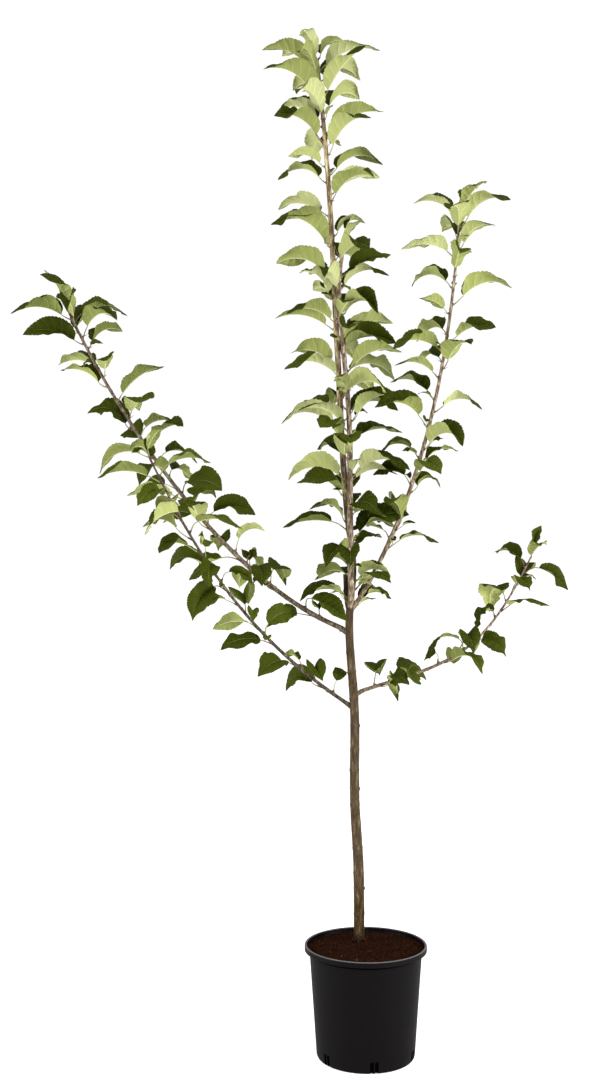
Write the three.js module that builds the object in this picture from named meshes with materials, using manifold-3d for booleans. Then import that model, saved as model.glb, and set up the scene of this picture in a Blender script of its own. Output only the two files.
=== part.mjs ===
// A young apple tree on a dwarfing rootstock, growing in a black nursery pot of about ten litres.
// Millimetres, +Z up. The origin is the centre of the pot's flat underside, +X is to the right of
// the tree's broad side and +Y is away from it.

import * as THREE from 'three';
import { mergeVertices } from 'three/addons/utils/BufferGeometryUtils.js';
import Module from 'manifold-3d';

const wasm = await Module();
wasm.setup();

// ---------------------------------------------------------------- driving dimensions

const CLEARANCE = 0.35;           // between neighbours that touch in life
const FACETS = { pot: 28, corner: 2, trunk: 8, bough: 6, foliage: 10, foliageRings: 6 };
const STEPS = { trunk: 26, twin: 11, bough: 10 };  // rings along each limb

const POT = {
  height: 238,
  rimRadius: 130,
  wallTopRadius: 120.5,
  baseRadius: 104,
  wall: 2.2,
  base: 2.6,
  cornerRadius: 7,
  lipDepth: 12,                   // the lip is a low collar that steps out above the wall
  lipThickness: 5,
  lipBevel: 1.5,
};

const DRAIN = {
  count: 6,
  firstAngle: -83,                // degrees from +X, so that one pair faces forward, just right of centre
  slitWidth: 7.5,
  slitPitch: 10,                  // between the two slits of a pair, with a rib left between them
  height: 26,
  inset: 12,                      // how far each slit runs in under the base
};

const SOIL = {
  level: 231,                     // the flat middle, where the trunk stands
  flatRadius: 78,
  edgeDrop: 3,                    // the compost sinks a little towards the wall
};

// Height, sideways place, depth and radius of an upright stem at each station.
const TRUNK_STATIONS = [
  { z: SOIL.level + CLEARANCE, x: -12, y: 40, r: 11.6 },
  { z: 400, x: -14, y: 38, r: 11.2 },
  { z: 530, x: -21.5, y: 36, r: 10.3 },
  { z: 720, x: -22, y: 32, r: 9.8 },
  { z: 930, x: -33.5, y: 28, r: 8.4 },
  { z: 1040, x: -25.5, y: 26, r: 6.6 },
  { z: 1150, x: -38, y: 24, r: 6.0 },
  { z: 1490, x: -59, y: 17, r: 5.2 },
  { z: 1860, x: -79, y: 9, r: 4.3 },
  { z: 2155, x: -106, y: 2, r: 2.4 },
];

const TWIN_STATIONS = [
  { z: 948, x: -29, y: 20, r: 6.6 },
  { z: 1030, x: -31, y: 12, r: 6.3 },
  { z: 1170, x: -33, y: 11, r: 5.8 },
  { z: 1333, x: -34, y: 9, r: 4.6 },
  { z: 1518, x: -48, y: 6, r: 4.0 },
  { z: 1621, x: -56.5, y: 2.5, r: 3.6 },
  { z: 1753, x: -44, y: -3, r: 2.6 },
];

// The old leader, sawn off flat just above the fork.
const STUB = { foot: [-39, 35, 935], top: [-41.5, 38, 1023], r: 5.2 };

const ROOT_FLARE = { extra: 1.4, height: 22 };
const COLLAR = { extra: 1.8, length: 16 };     // the swelling where a bough leaves the trunk

// Each bough is one cubic curve: where it leaves the trunk, the two handles that bend it, and its tip.
const BOUGHS = {
  left_upper_bough: { leaves: [-34, 34, 901], handles: [[-291, 56, 991], [-538, 112, 1357]],
    tip: [-661, 150, 1616], r: [5.2, 2.6], ends: 0.93 },
  left_lower_bough: { leaves: [-26, 34, 737], handles: [[-245, -8, 881], [-356, -65, 1062]],
    tip: [-450, -130, 1275], r: [3.8, 1.6], ends: 0.93 },
  right_upper_bough: { leaves: [-24, 36, 950], handles: [[134, 11, 1206], [178, -30, 1499]],
    tip: [192, -70, 1776], r: [4.8, 2.2], ends: 0.93 },
  right_lower_bough: { leaves: [-23, 36, 767], handles: [[196, 66, 832], [255, 76, 835]],
    tip: [374, 120, 1063], r: [3.9, 1.5], ends: 0.86 },
};

// Foliage on the leader: the heights that each mass fills, and how far its leaves reach.
const LEADER_FOLIAGE = [
  { low: 955, high: 1095, reach: 92 },
  { low: 1112, high: 1212, reach: 118 },
  { low: 1228, high: 1332, reach: 122 },
  { low: 1346, high: 1442, reach: 114 },
  { low: 1454, high: 1534, reach: 92 },
  { low: 1546, high: 1652, reach: 116 },
  { low: 1666, high: 1792, reach: 120 },
  { low: 1804, high: 1884, reach: 108 },
  { low: 1894, high: 1954, reach: 98 },
  { low: 1964, high: 2184, reach: 138 },
];

// Foliage on each bough: the share of its length that each mass fills, and how far its leaves reach.
// The last of each is the tuft round the growing tip.
const BOUGH_FOLIAGE = {
  left_upper_bough: [
    { from: 0.05, to: 0.13, reach: 46 },
    { from: 0.18, to: 0.36, reach: 80 },
    { from: 0.39, to: 0.55, reach: 92 },
    { from: 0.58, to: 0.72, reach: 106 },
    { from: 0.745, to: 0.86, reach: 88 },
    { from: 0.885, to: 1.12, reach: 136 },
  ],
  left_lower_bough: [
    { from: 0.05, to: 0.26, reach: 66 },
    { from: 0.3, to: 0.5, reach: 70 },
    { from: 0.53, to: 0.68, reach: 66 },
    { from: 0.71, to: 0.86, reach: 84 },
    { from: 0.885, to: 1.04, reach: 88 },
  ],
  right_upper_bough: [
    { from: 0.155, to: 0.28, reach: 74 },
    { from: 0.31, to: 0.45, reach: 96 },
    { from: 0.475, to: 0.575, reach: 64 },
    { from: 0.6, to: 0.72, reach: 96 },
    { from: 0.745, to: 0.86, reach: 94 },
    { from: 0.885, to: 1.075, reach: 100 },
  ],
  right_lower_bough: [
    { from: 0.06, to: 0.24, reach: 52 },
    { from: 0.33, to: 0.6, reach: 74 },
    { from: 0.66, to: 1.12, reach: 92 },
  ],
};

// Leaves stand in fives round the leader, so its masses have five lobes that turn as they rise. The
// masses on boughs hang out over the foot on one side, so they are thin pads, with leaves left and right
// by turns.
const LOBE_HOLLOW = 0.36;         // reach between two lobes, as a share of the full reach
const PAD_HOLLOW = 0.6;
const LOBE_TWIST = 0.3;           // radians that the lobes turn from one ring to the next
const PAD_THICKNESS = 0.3;        // of a pad's width
const TUFT_THICKNESS = 0.62;
const UNEVEN = 0.22;              // random share taken off each reach
const FULLNESS = 0.8;             // below 1, a mass is blunter at its ends than a ball
const LEAF_GAP = 3;               // kept between a bough's masses and the leader's

const MATERIALS = {
  pot: new THREE.MeshStandardMaterial({ color: 0x1d1c1e, roughness: 0.5, metalness: 0 }),
  soil: new THREE.MeshStandardMaterial({ color: 0x2b160e, roughness: 0.95, metalness: 0 }),
  bark: new THREE.MeshStandardMaterial({ color: 0x6b5540, roughness: 0.7, metalness: 0 }),
  shoot: new THREE.MeshStandardMaterial({ color: 0x7a5a4c, roughness: 0.6, metalness: 0 }),
  foliage: new THREE.MeshStandardMaterial({ color: 0x6f9440, roughness: 0.7, metalness: 0 }),
};

// ---------------------------------------------------------------- helpers

/** A small seeded generator of numbers from 0 to 1. */
function seeded(seed) {
  let state = seed >>> 0;
  return () => {
    state = (state + 0x6d2b79f5) >>> 0;
    let mixed = Math.imul(state ^ (state >>> 15), 1 | state);
    mixed = (mixed + Math.imul(mixed ^ (mixed >>> 7), 61 | mixed)) ^ mixed;
    return ((mixed ^ (mixed >>> 14)) >>> 0) / 4294967296;
  };
}

/** A closed geometry as a manifold solid: vertices merged, flat triangles dropped. */
function solidOf(geometry) {
  const bare = geometry.clone();
  bare.deleteAttribute('normal');
  bare.deleteAttribute('uv');
  const merged = mergeVertices(bare, 1e-3);
  const index = merged.index.array;
  const kept = [];
  for (let i = 0; i < index.length; i += 3) {
    const [a, b, c] = [index[i], index[i + 1], index[i + 2]];
    if (a !== b && b !== c && c !== a) kept.push(a, b, c);
  }
  return new wasm.Manifold(new wasm.Mesh({
    numProp: 3,
    vertProperties: new Float32Array(merged.attributes.position.array),
    triVerts: new Uint32Array(kept),
  }));
}

/** A manifold solid as a geometry. */
function geometryOf(solid) {
  const mesh = solid.getMesh();
  const geometry = new THREE.BufferGeometry();
  geometry.setAttribute('position', new THREE.BufferAttribute(mesh.vertProperties, 3));
  geometry.setIndex(new THREE.BufferAttribute(mesh.triVerts, 1));
  geometry.computeVertexNormals();
  return geometry;
}

/** Turns a profile of [radius, height] points about the Z axis. */
function turned(profile) {
  const points = profile.map(([radius, height]) => new THREE.Vector2(radius, height));
  return new THREE.LatheGeometry(points, FACETS.pot).rotateX(Math.PI / 2);
}

// ---------------------------------------------------------------- pot and compost

/** Inner radius of the pot's wall at a height. */
function innerRadius(height) {
  const share = height / POT.height;
  return THREE.MathUtils.lerp(POT.baseRadius, POT.wallTopRadius, share) - POT.wall;
}

/** The corner between the base and the wall, as a quarter arc of [radius, height] points. */
function cornerArc(radius, corner, floor) {
  const arc = [];
  for (let i = 0; i <= FACETS.corner; i += 1) {
    const angle = (Math.PI / 2) * (i / FACETS.corner);
    arc.push([radius - corner + corner * Math.sin(angle), floor + corner - corner * Math.cos(angle)]);
  }
  return arc;
}

function potShell() {
  const lipFoot = POT.height - POT.lipDepth;
  const ledge = lipFoot + POT.wall;
  const lipInner = POT.rimRadius - POT.lipThickness;
  return turned([
    [0, 0],
    ...cornerArc(POT.baseRadius, POT.cornerRadius, 0),
    [innerRadius(lipFoot) + POT.wall, lipFoot],
    [POT.rimRadius, lipFoot],
    [POT.rimRadius, POT.height - POT.lipBevel],
    [POT.rimRadius - POT.lipBevel, POT.height],
    [lipInner, POT.height],
    [lipInner, ledge],
    [innerRadius(ledge), ledge],
    ...cornerArc(innerRadius(0), POT.cornerRadius - POT.wall, POT.base).reverse(),
    [0, POT.base],
  ]);
}

/** The slits of the drainage holes, in pairs round the foot of the wall. */
function drainSlits() {
  const slits = [];
  const depth = DRAIN.inset + POT.cornerRadius;
  for (let i = 0; i < DRAIN.count; i += 1) {
    const angle = THREE.MathUtils.degToRad(DRAIN.firstAngle + (360 / DRAIN.count) * i);
    for (const side of [-0.5, 0.5]) {
      const slit = new THREE.BoxGeometry(depth, DRAIN.slitWidth, DRAIN.height * 2);
      slit.translate(POT.baseRadius + POT.wall - depth / 2, side * DRAIN.slitPitch, 0);
      slits.push(slit.rotateZ(angle));
    }
  }
  return slits;
}

function pot() {
  let shell = solidOf(potShell());
  for (const slit of drainSlits()) shell = shell.subtract(solidOf(slit));
  return geometryOf(shell);
}

/** The compost fills the pot to just below the rim, flat in the middle and sunk at the wall. */
function compost() {
  const floor = POT.base + CLEARANCE;
  const edge = SOIL.level - SOIL.edgeDrop;
  return geometryOf(solidOf(turned([
    [0, floor],
    ...cornerArc(innerRadius(0) - CLEARANCE, POT.cornerRadius - POT.wall, floor),
    [innerRadius(edge) - CLEARANCE, edge],
    [SOIL.flatRadius, SOIL.level],
    [0, SOIL.level],
  ])));
}

// ---------------------------------------------------------------- limbs

/** The point of a curve at a height, for a curve that climbs all the way. */
function shareAtHeight(curve, height) {
  let [low, high] = [0, 1];
  for (let i = 0; i < 30; i += 1) {
    const middle = (low + high) / 2;
    if (curve.getPointAt(middle).z < height) low = middle;
    else high = middle;
  }
  return (low + high) / 2;
}

/** An upright stem through its stations. Its rings lie level, so its foot is a flat cut. */
function uprightLimb(stations, steps) {
  const curve = new THREE.CatmullRomCurve3(stations.map(({ x, y, z }) => new THREE.Vector3(x, y, z)));
  const taper = (height) => {
    const above = Math.max(1, stations.findIndex(({ z }) => z >= height));
    const [a, b] = [stations[above - 1], stations[above]];
    return THREE.MathUtils.mapLinear(THREE.MathUtils.clamp(height, a.z, b.z), a.z, b.z, a.r, b.r);
  };
  const foot = stations[0].z;
  const flare = stations === TRUNK_STATIONS ? ROOT_FLARE : { extra: 0, height: 1 };
  const radiusAt = (share) => {
    const { z } = curve.getPointAt(share);
    return taper(z) + flare.extra * Math.exp(-(z - foot) / flare.height);
  };
  return { curve, radiusAt, steps, sides: FACETS.trunk, level: true, end: 1 };
}

/** A bough along its own curve, swollen where it leaves the trunk. */
function boughLimb({ leaves, handles, tip, r, ends }, steps) {
  const points = [leaves, ...handles, tip].map((point) => new THREE.Vector3(...point));
  const curve = new THREE.CubicBezierCurve3(...points);
  const length = curve.getLength();
  const radiusAt = (share) => THREE.MathUtils.lerp(r[0], r[1], share)
    + COLLAR.extra * Math.exp(-(share * length) / COLLAR.length);
  return { curve, radiusAt, steps, sides: FACETS.bough, level: false, end: ends };
}

/** The sideways and depth directions of a limb's cross-section. */
function crossSection(limb, share) {
  if (limb.level) return { side: new THREE.Vector3(1, 0, 0), depth: new THREE.Vector3(0, 1, 0) };
  const along = limb.curve.getTangentAt(THREE.MathUtils.clamp(share, 0, 1));
  const side = new THREE.Vector3(0, 1, 0).cross(along).normalize();
  return { side, depth: along.clone().cross(side).normalize() };
}

/** The point of a limb at a share of its length; past its tip it runs straight on. */
function limbPoint(limb, share) {
  const inside = THREE.MathUtils.clamp(share, 0, 1);
  const point = limb.curve.getPointAt(inside);
  const beyond = (share - inside) * limb.curve.getLength();
  return point.addScaledVector(limb.curve.getTangentAt(inside), beyond);
}

/** A limb as a tapering solid, grown by a margin where it is used to cut a seat in a neighbour. */
function limbSolid(limb, grown = 0) {
  const geometry = new THREE.CylinderGeometry(1, 1, 1, limb.sides, limb.steps);
  const { position } = geometry.attributes;
  const reach = limb.end + grown / limb.curve.getLength();
  for (let i = 0; i < position.count; i += 1) {
    const share = (position.getY(i) + 0.5) * reach;
    const { side, depth } = crossSection(limb, share);
    const radius = limb.radiusAt(Math.min(share, 1)) + grown;
    const point = limbPoint(limb, share)
      .addScaledVector(side, position.getX(i) * radius)
      .addScaledVector(depth, -position.getZ(i) * radius);
    position.setXYZ(i, point.x, point.y, point.z);
  }
  return solidOf(geometry);
}

/** The sawn stub of the old leader: a short straight limb with a flat top. */
function stubLimb() {
  const curve = new THREE.LineCurve3(new THREE.Vector3(...STUB.foot), new THREE.Vector3(...STUB.top));
  return { curve, radiusAt: () => STUB.r, steps: 1, sides: FACETS.bough, level: true, end: 1 };
}

const trunk = uprightLimb(TRUNK_STATIONS, STEPS.trunk);
const limbs = {
  trunk,
  twin_stem: uprightLimb(TWIN_STATIONS, STEPS.twin),
  pruned_stub: stubLimb(),
};
for (const [name, shape] of Object.entries(BOUGHS)) limbs[name] = boughLimb(shape, STEPS.bough);

// ---------------------------------------------------------------- foliage

/** Reach of a mass at a column and a ring, as a share of its full reach. */
function lobeReach(column, ring, isPad) {
  if (!isPad) return column % 2 ? LOBE_HOLLOW : 1;
  const onLeft = Math.cos((2 * Math.PI * column) / FACETS.foliage) < 0;
  return onLeft === (ring % 2 === 0) ? PAD_HOLLOW : 1;
}

/**
 * One uncut mass of foliage round a stretch of limb: a ball whose columns run along the limb. Where it
 * has a thickness, it is a pad that is broad to the sides and thin in depth.
 */
function foliageSolid(limb, { from, to, reach, thickness, seed }, grown = 0) {
  const { foliage: columns, foliageRings: rings } = FACETS;
  const random = seeded(seed);
  const uneven = Array.from({ length: columns * (rings + 1) }, () => 1 - UNEVEN * random());
  const turn = thickness ? 0 : random() * Math.PI * 2;
  const twist = thickness ? 0 : LOBE_TWIST;
  const geometry = new THREE.SphereGeometry(1, columns, rings);
  const { position } = geometry.attributes;
  for (let i = 0; i < position.count; i += 1) {
    const column = (i % (columns + 1)) % columns;
    const ring = Math.floor(i / (columns + 1));
    const lobe = lobeReach(column, ring, Boolean(thickness)) * uneven[ring * columns + column];
    const girth = Math.sin((Math.PI * ring) / rings) ** FULLNESS;
    const radius = (reach * lobe + grown) * girth;
    const angle = turn + (2 * Math.PI * column) / columns + twist * ring;
    const share = THREE.MathUtils.mapLinear(position.getY(i), -1, 1, from, to)
      + (position.getY(i) * grown) / limb.curve.getLength();
    const { side, depth } = crossSection(limb, share);
    const point = limbPoint(limb, share)
      .addScaledVector(side, Math.cos(angle) * radius)
      .addScaledVector(depth, Math.sin(angle) * radius * (thickness || 1));
    position.setXYZ(i, point.x, point.y, point.z);
  }
  return solidOf(geometry);
}

/** A mass with its neighbours cut out of it, so that stems run on through. Only its main piece is kept. */
function cutMass(mass, neighbours) {
  const pieces = neighbours.reduce((left, neighbour) => left.subtract(neighbour), mass).decompose();
  return geometryOf(pieces.sort((a, b) => b.volume() - a.volume())[0]);
}

/** A mass on the leader, with its heights turned into shares of the trunk's length. */
function leaderMass({ low, high, reach }, i) {
  const top = TRUNK_STATIONS.at(-1).z;
  const share = (height) => (height <= top
    ? shareAtHeight(trunk.curve, height)
    : 1 + (height - top) / trunk.curve.getLength());
  return { from: share(low), to: share(high), reach, seed: 11 + i };
}

// ---------------------------------------------------------------- assembly

const tree = new THREE.Group();

function place(name, geometry, material) {
  const mesh = new THREE.Mesh(geometry, material);
  mesh.name = name;
  tree.add(mesh);
}

place('pot', pot(), MATERIALS.pot);
place('compost', compost(), MATERIALS.soil);

const trunkSolid = limbSolid(trunk);
const trunkSeat = limbSolid(trunk, CLEARANCE);
place('trunk', geometryOf(trunkSolid), MATERIALS.bark);
for (const [name, limb] of Object.entries(limbs)) {
  if (limb !== trunk) {
    const material = name === 'pruned_stub' ? MATERIALS.bark : MATERIALS.shoot;
    place(name, geometryOf(limbSolid(limb).subtract(trunkSeat)), material);
  }
}

const stems = Object.values(limbs).map((limb) => limbSolid(limb, CLEARANCE));
const leaderMasses = LEADER_FOLIAGE.map(leaderMass);
leaderMasses.forEach((mass, i) => {
  place(`leader_foliage_${i + 1}`, cutMass(foliageSolid(trunk, mass), stems), MATERIALS.foliage);
});

const nearLeader = leaderMasses.map((mass) => foliageSolid(trunk, mass, LEAF_GAP).hull());
Object.entries(BOUGH_FOLIAGE).forEach(([bough, masses], row) => {
  masses.forEach((mass, i) => {
    const isTuft = i === masses.length - 1;
    const name = bough.replace('bough', isTuft ? 'tuft' : `foliage_${i + 1}`);
    const thickness = isTuft ? TUFT_THICKNESS : PAD_THICKNESS;
    const solid = foliageSolid(limbs[bough], { ...mass, thickness, seed: 101 + row * 10 + i });
    place(name, cutMass(solid, [...stems, ...nearLeader]), MATERIALS.foliage);
  });
});

export default tree;
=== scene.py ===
"""A young potted apple tree: fine bark, toothed leaves grown on the limbs, moulded pot and crumbly compost.

Places and sizes are in millimetres, in the frame of the solids, and become metres in mesh_piece().
"""

import math

import bpy
import numpy as np
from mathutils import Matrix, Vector


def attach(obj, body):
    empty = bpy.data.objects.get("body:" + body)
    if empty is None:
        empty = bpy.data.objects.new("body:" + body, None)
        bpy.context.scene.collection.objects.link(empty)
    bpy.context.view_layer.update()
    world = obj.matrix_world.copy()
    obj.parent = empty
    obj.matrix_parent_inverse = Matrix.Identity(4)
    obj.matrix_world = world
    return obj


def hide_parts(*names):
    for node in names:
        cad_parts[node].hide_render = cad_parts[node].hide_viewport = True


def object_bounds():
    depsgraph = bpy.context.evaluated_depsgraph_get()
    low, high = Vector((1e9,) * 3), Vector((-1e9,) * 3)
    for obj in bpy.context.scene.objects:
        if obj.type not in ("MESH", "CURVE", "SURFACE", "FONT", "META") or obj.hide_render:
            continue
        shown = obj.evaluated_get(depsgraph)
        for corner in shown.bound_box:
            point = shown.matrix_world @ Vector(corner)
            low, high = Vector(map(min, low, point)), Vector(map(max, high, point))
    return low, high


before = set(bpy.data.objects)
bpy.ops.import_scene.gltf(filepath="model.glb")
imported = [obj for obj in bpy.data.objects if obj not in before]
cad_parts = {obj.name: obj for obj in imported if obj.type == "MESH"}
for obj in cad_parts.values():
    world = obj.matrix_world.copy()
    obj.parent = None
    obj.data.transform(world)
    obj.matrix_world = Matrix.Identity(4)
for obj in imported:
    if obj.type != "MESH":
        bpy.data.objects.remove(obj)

CAD_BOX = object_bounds()
BODY = "root"
MM = 0.001
DEGREE = math.pi / 180
FULL_TURN = 2 * math.pi

# Leaves stay within the solids' box, grown on each side by a share of its length and a little more.
PROUD_SHARE, PROUD = 0.03, 4
SOLID_BOX = np.array([list(corner) for corner in CAD_BOX]) / MM
ROOM = SOLID_BOX + np.outer([-1, 1], PROUD_SHARE * (SOLID_BOX[1] - SOLID_BOX[0]) + PROUD)

# ---------------------------------------------------------------- driving sizes of the solids

POT = {
    "height": 238,
    "rim_radius": 130,
    "wall_top_radius": 120.5,
    "base_radius": 104,
    "wall": 2.2,
    "base": 2.6,
    "corner_radius": 7,
    "lip_depth": 12,
    "lip_thickness": 5,
}
DRAIN = {"count": 6, "first_angle": -83, "slit_width": 7.5, "slit_pitch": 10, "height": 26, "inset": 12}
SOIL = {"level": 231, "flat_radius": 78, "edge_drop": 3}

# Height, sideways place, depth and radius of each upright stem at its stations.
TRUNK_STATIONS = [
    (231.35, -12, 40, 11.6),
    (400, -14, 38, 11.2),
    (530, -21.5, 36, 10.3),
    (720, -22, 32, 9.8),
    (930, -33.5, 28, 8.4),
    (1040, -25.5, 26, 6.6),
    (1150, -38, 24, 6.0),
    (1490, -59, 17, 5.2),
    (1860, -79, 9, 4.3),
    (2155, -106, 2, 2.4),
]
TWIN_STATIONS = [
    (948, -29, 20, 6.6),
    (1030, -31, 12, 6.3),
    (1170, -33, 11, 5.8),
    (1333, -34, 9, 4.6),
    (1518, -48, 6, 4.0),
    (1621, -56.5, 2.5, 3.6),
    (1753, -44, -3, 2.6),
]
GROWING_TIP = 2126                 # height at which the leader's stem ends among its young leaves
THIN_BARK, BOUGH_BARK = 0.9, 0.3   # how far the bark of thin stems and of boughs stands proud
THICK_STEM, THIN_STEM = 7.5, 5.0   # radii over which it comes to stand proud
STUB = {"foot": (-39, 35, 935), "top": (-41.5, 38, 1023), "radius": 5.2}
COLLAR = {"extra": 1.8, "length": 16}
ROOT_DROP = 5                      # how far below its foot a limb's pith leaves the trunk's
ROOT_REACH = {"bough": 14, "twin_stem": 24, "stub": 26}    # length of the foot that bends to the trunk
STEM_POINTS, BOUGH_POINTS, STUB_POINTS = 600, 400, 90

# Each bough: where it leaves the trunk, its two handles, its tip, and its radius at both ends.
BOUGHS = {
    "left_upper": ([(-34, 34, 901), (-291, 56, 991), (-538, 112, 1357), (-661, 150, 1616)], (5.2, 2.6)),
    "left_lower": ([(-26, 34, 737), (-245, -8, 881), (-356, -65, 1062), (-450, -130, 1275)], (3.8, 1.6)),
    "right_upper": ([(-24, 36, 950), (134, 11, 1206), (178, -30, 1499), (192, -70, 1776)], (4.8, 2.2)),
    "right_lower": ([(-23, 36, 767), (196, 66, 832), (255, 76, 835), (374, 120, 1063)], (3.9, 1.5)),
}

# ---------------------------------------------------------------- foliage plan

# Masses on the leader: the heights that each fills from and to, and its sprays as (leaves, seed). Beside
# the twin stem the first spray grows on the trunk and the second on the twin; above it they follow on.
LEADER_MASSES = [
    (955, 1095, [(5, 1), (5, 2)]),
    (1112, 1212, [(5, 603), (4, 604)]),
    (1228, 1332, [(5, 305), (5, 306)]),
    (1346, 1442, [(5, 307), (5, 308)]),
    (1454, 1534, [(3, 9), (4, 10)]),
    (1546, 1652, [(6, 111), (5, 112)]),
    (1666, 1792, [(6, 13), (4, 14)]),
    (1804, 1884, [(2, 115), (2, 116)]),
    (1894, 1954, [(4, 117)]),
    (1964, 2184, [(5, 818), (5, 819), (6, 820)]),
]
# Masses on each bough: the shares of its length that each fills from and to, and its sprays. The last is
# the growing tip.
BOUGH_MASSES = {
    "left_upper": [
        (0.07, 0.12, [(3, 21)]),
        (0.18, 0.34, [(5, 1122), (4, 1123)]),
        (0.38, 0.55, [(5, 1124), (5, 1125)]),
        (0.57, 0.72, [(4, 1126), (4, 1127)]),
        (0.74, 0.85, [(4, 428)]),
        (0.88, 1.0, [(5, 429), (5, 430)]),
    ],
    "left_lower": [
        (0.07, 0.24, [(5, 1131)]),
        (0.31, 0.49, [(6, 1132)]),
        (0.52, 0.68, [(6, 1133)]),
        (0.70, 0.85, [(6, 1134)]),
        (0.88, 1.0, [(5, 1135)]),
    ],
    "right_upper": [
        (0.16, 0.27, [(4, 36)]),
        (0.31, 0.44, [(3, 37), (3, 38)]),
        (0.475, 0.57, [(3, 39)]),
        (0.60, 0.72, [(3, 40), (3, 41)]),
        (0.745, 0.86, [(4, 542)]),
        (0.885, 1.0, [(4, 543), (4, 544)]),
    ],
    "right_lower": [
        (0.08, 0.22, [(5, 45)]),
        (0.36, 0.58, [(4, 1246), (3, 1247)]),
        (0.66, 0.99, [(5, 1248), (4, 1249)]),
    ],
}
# How light each limb's bark is.
BARK_TONES = {
    "twin_stem": 1.45, "left_upper": 0.76, "left_lower": 0.42, "right_upper": 1.3, "right_lower": 1.25,
}
# How a limb's leaves differ: how many degrees further than by habit they turn to the light, the size of the
# youngest against the others, by how many shades vigorous ones are paler beneath, and the size of them all.
# A bough's row also has the vigour of its topmost leaves.
LEADER_LEAVES = {"light_turn": 0, "youngest": 0.42, "paler": 1, "size": 1.0}
BOUGH_LEAVES = {
    "left_upper": {"vigour": 0.95, "light_turn": 18, "youngest": 0.85, "paler": 0, "size": 1.05},
    "left_lower": {"vigour": 0.6, "light_turn": 2, "youngest": 0.6, "paler": 0, "size": 1.08},
    "right_upper": {"vigour": 0.92, "light_turn": 2, "youngest": 0.55, "paler": 1, "size": 1.0},
    "right_lower": {"vigour": 0.58, "light_turn": -12, "youngest": 0.75, "paler": 0, "size": 1.18},
}
LEAF_TURN = math.radians(144)     # from each node to the next, two rounds in five leaves
BROAD_TURN = math.radians(18)     # of a spray's first leaf, so that most of its leaves stand to the sides
CROWDING = 1.45                   # how much closer together leaves stand at a growing tip
TIP_TURN = 22                     # how many degrees a vigorous leaf's tip twists to the light

# Leaf habit at the two ends of vigour: old shaded leaves hang open, young ones arch up, folded.
# Each measure has a (mean, spread) for either; angles are in degrees.
HABITS = {
    "length": ((80, 14), (112, 9)),
    "petiole": ((26, 6), (24, 4)),
    "rise": ((26, 24), (44, 11)),
    "fall": ((-64, 24), (-30, 18)),
    "fold": ((36, 14), (56, 8)),
    "tip_fold": ((10, 14), (24, 12)),
    "recurve": ((0.6, 0.35), (0.5, 0.25)),
    "roll": ((0, 24), (0, 17)),
    "twist": ((0, 36), (0, 44)),
    "wave": ((4.8, 1.6), (3.8, 1.2)),
    "sweep": ((0, 26), (0, 13)),
    "breadth": ((0.285, 0.022), (0.272, 0.018)),
    "spur": ((8, 3), (1.2, 0.4)),
    "light_turn": ((26, 14), (-1, 8)),
}

# ---------------------------------------------------------------- vectors and limbs


def unit(vectors):
    """Vectors scaled to length one, along the last axis."""
    vectors = np.asarray(vectors, dtype=float)
    return vectors / np.linalg.norm(vectors, axis=-1, keepdims=True)


def smooth_step(low, high, value):
    """0 up to low, 1 from high on and an even curve between. It falls where low is above high."""
    share = np.clip((np.asarray(value, dtype=float) - low) / (high - low), 0, 1)
    return share * share * (3 - 2 * share)


def lattice_noise(cells, u, v):
    """Smooth noise read off a lattice of random values, at places counted in cells. It repeats."""
    i, j = np.floor(u).astype(int), np.floor(v).astype(int)
    across, down = smooth_step(0, 1, v - j), smooth_step(0, 1, u - i)
    rows, columns = cells.shape
    near, far = cells[i % rows, j % columns], cells[i % rows, (j + 1) % columns]
    next_near, next_far = cells[(i + 1) % rows, j % columns], cells[(i + 1) % rows, (j + 1) % columns]
    above = near * (1 - across) + far * across
    below = next_near * (1 - across) + next_far * across
    return above * (1 - down) + below * down


def bezier(points, count):
    """Points along a cubic curve."""
    t = np.linspace(0, 1, count)[:, None]
    p = np.asarray(points, dtype=float)
    return (1 - t) ** 3 * p[0] + 3 * t * (1 - t) ** 2 * p[1] + 3 * t * t * (1 - t) * p[2] + t ** 3 * p[3]


def through_stations(stations, count):
    """Points and radii of a smooth stem through its stations, at even heights."""
    z, x, y, r = np.array(stations, dtype=float).T
    heights = np.linspace(z[0], z[-1], count)
    index = np.clip(np.searchsorted(z, heights, side="right") - 1, 0, len(z) - 2)
    span = z[index + 1] - z[index]
    t = (heights - z[index]) / span
    columns = []
    for values in (x, y):
        slope = np.gradient(values, z)
        a, b = values[index], values[index + 1]
        rise_a, rise_b = slope[index] * span, slope[index + 1] * span
        columns.append(
            (2 * t ** 3 - 3 * t ** 2 + 1) * a + (t ** 3 - 2 * t ** 2 + t) * rise_a
            + (3 * t ** 2 - 2 * t ** 3) * b + (t ** 3 - t ** 2) * rise_b
        )
    centres = np.column_stack([columns[0], columns[1], heights])
    return centres, np.interp(heights, z, r)


def read_off(places, stations, rows):
    """Rows of values at places between the stations that have them."""
    return np.stack([np.interp(places, stations, column) for column in rows.T], axis=-1)


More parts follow.
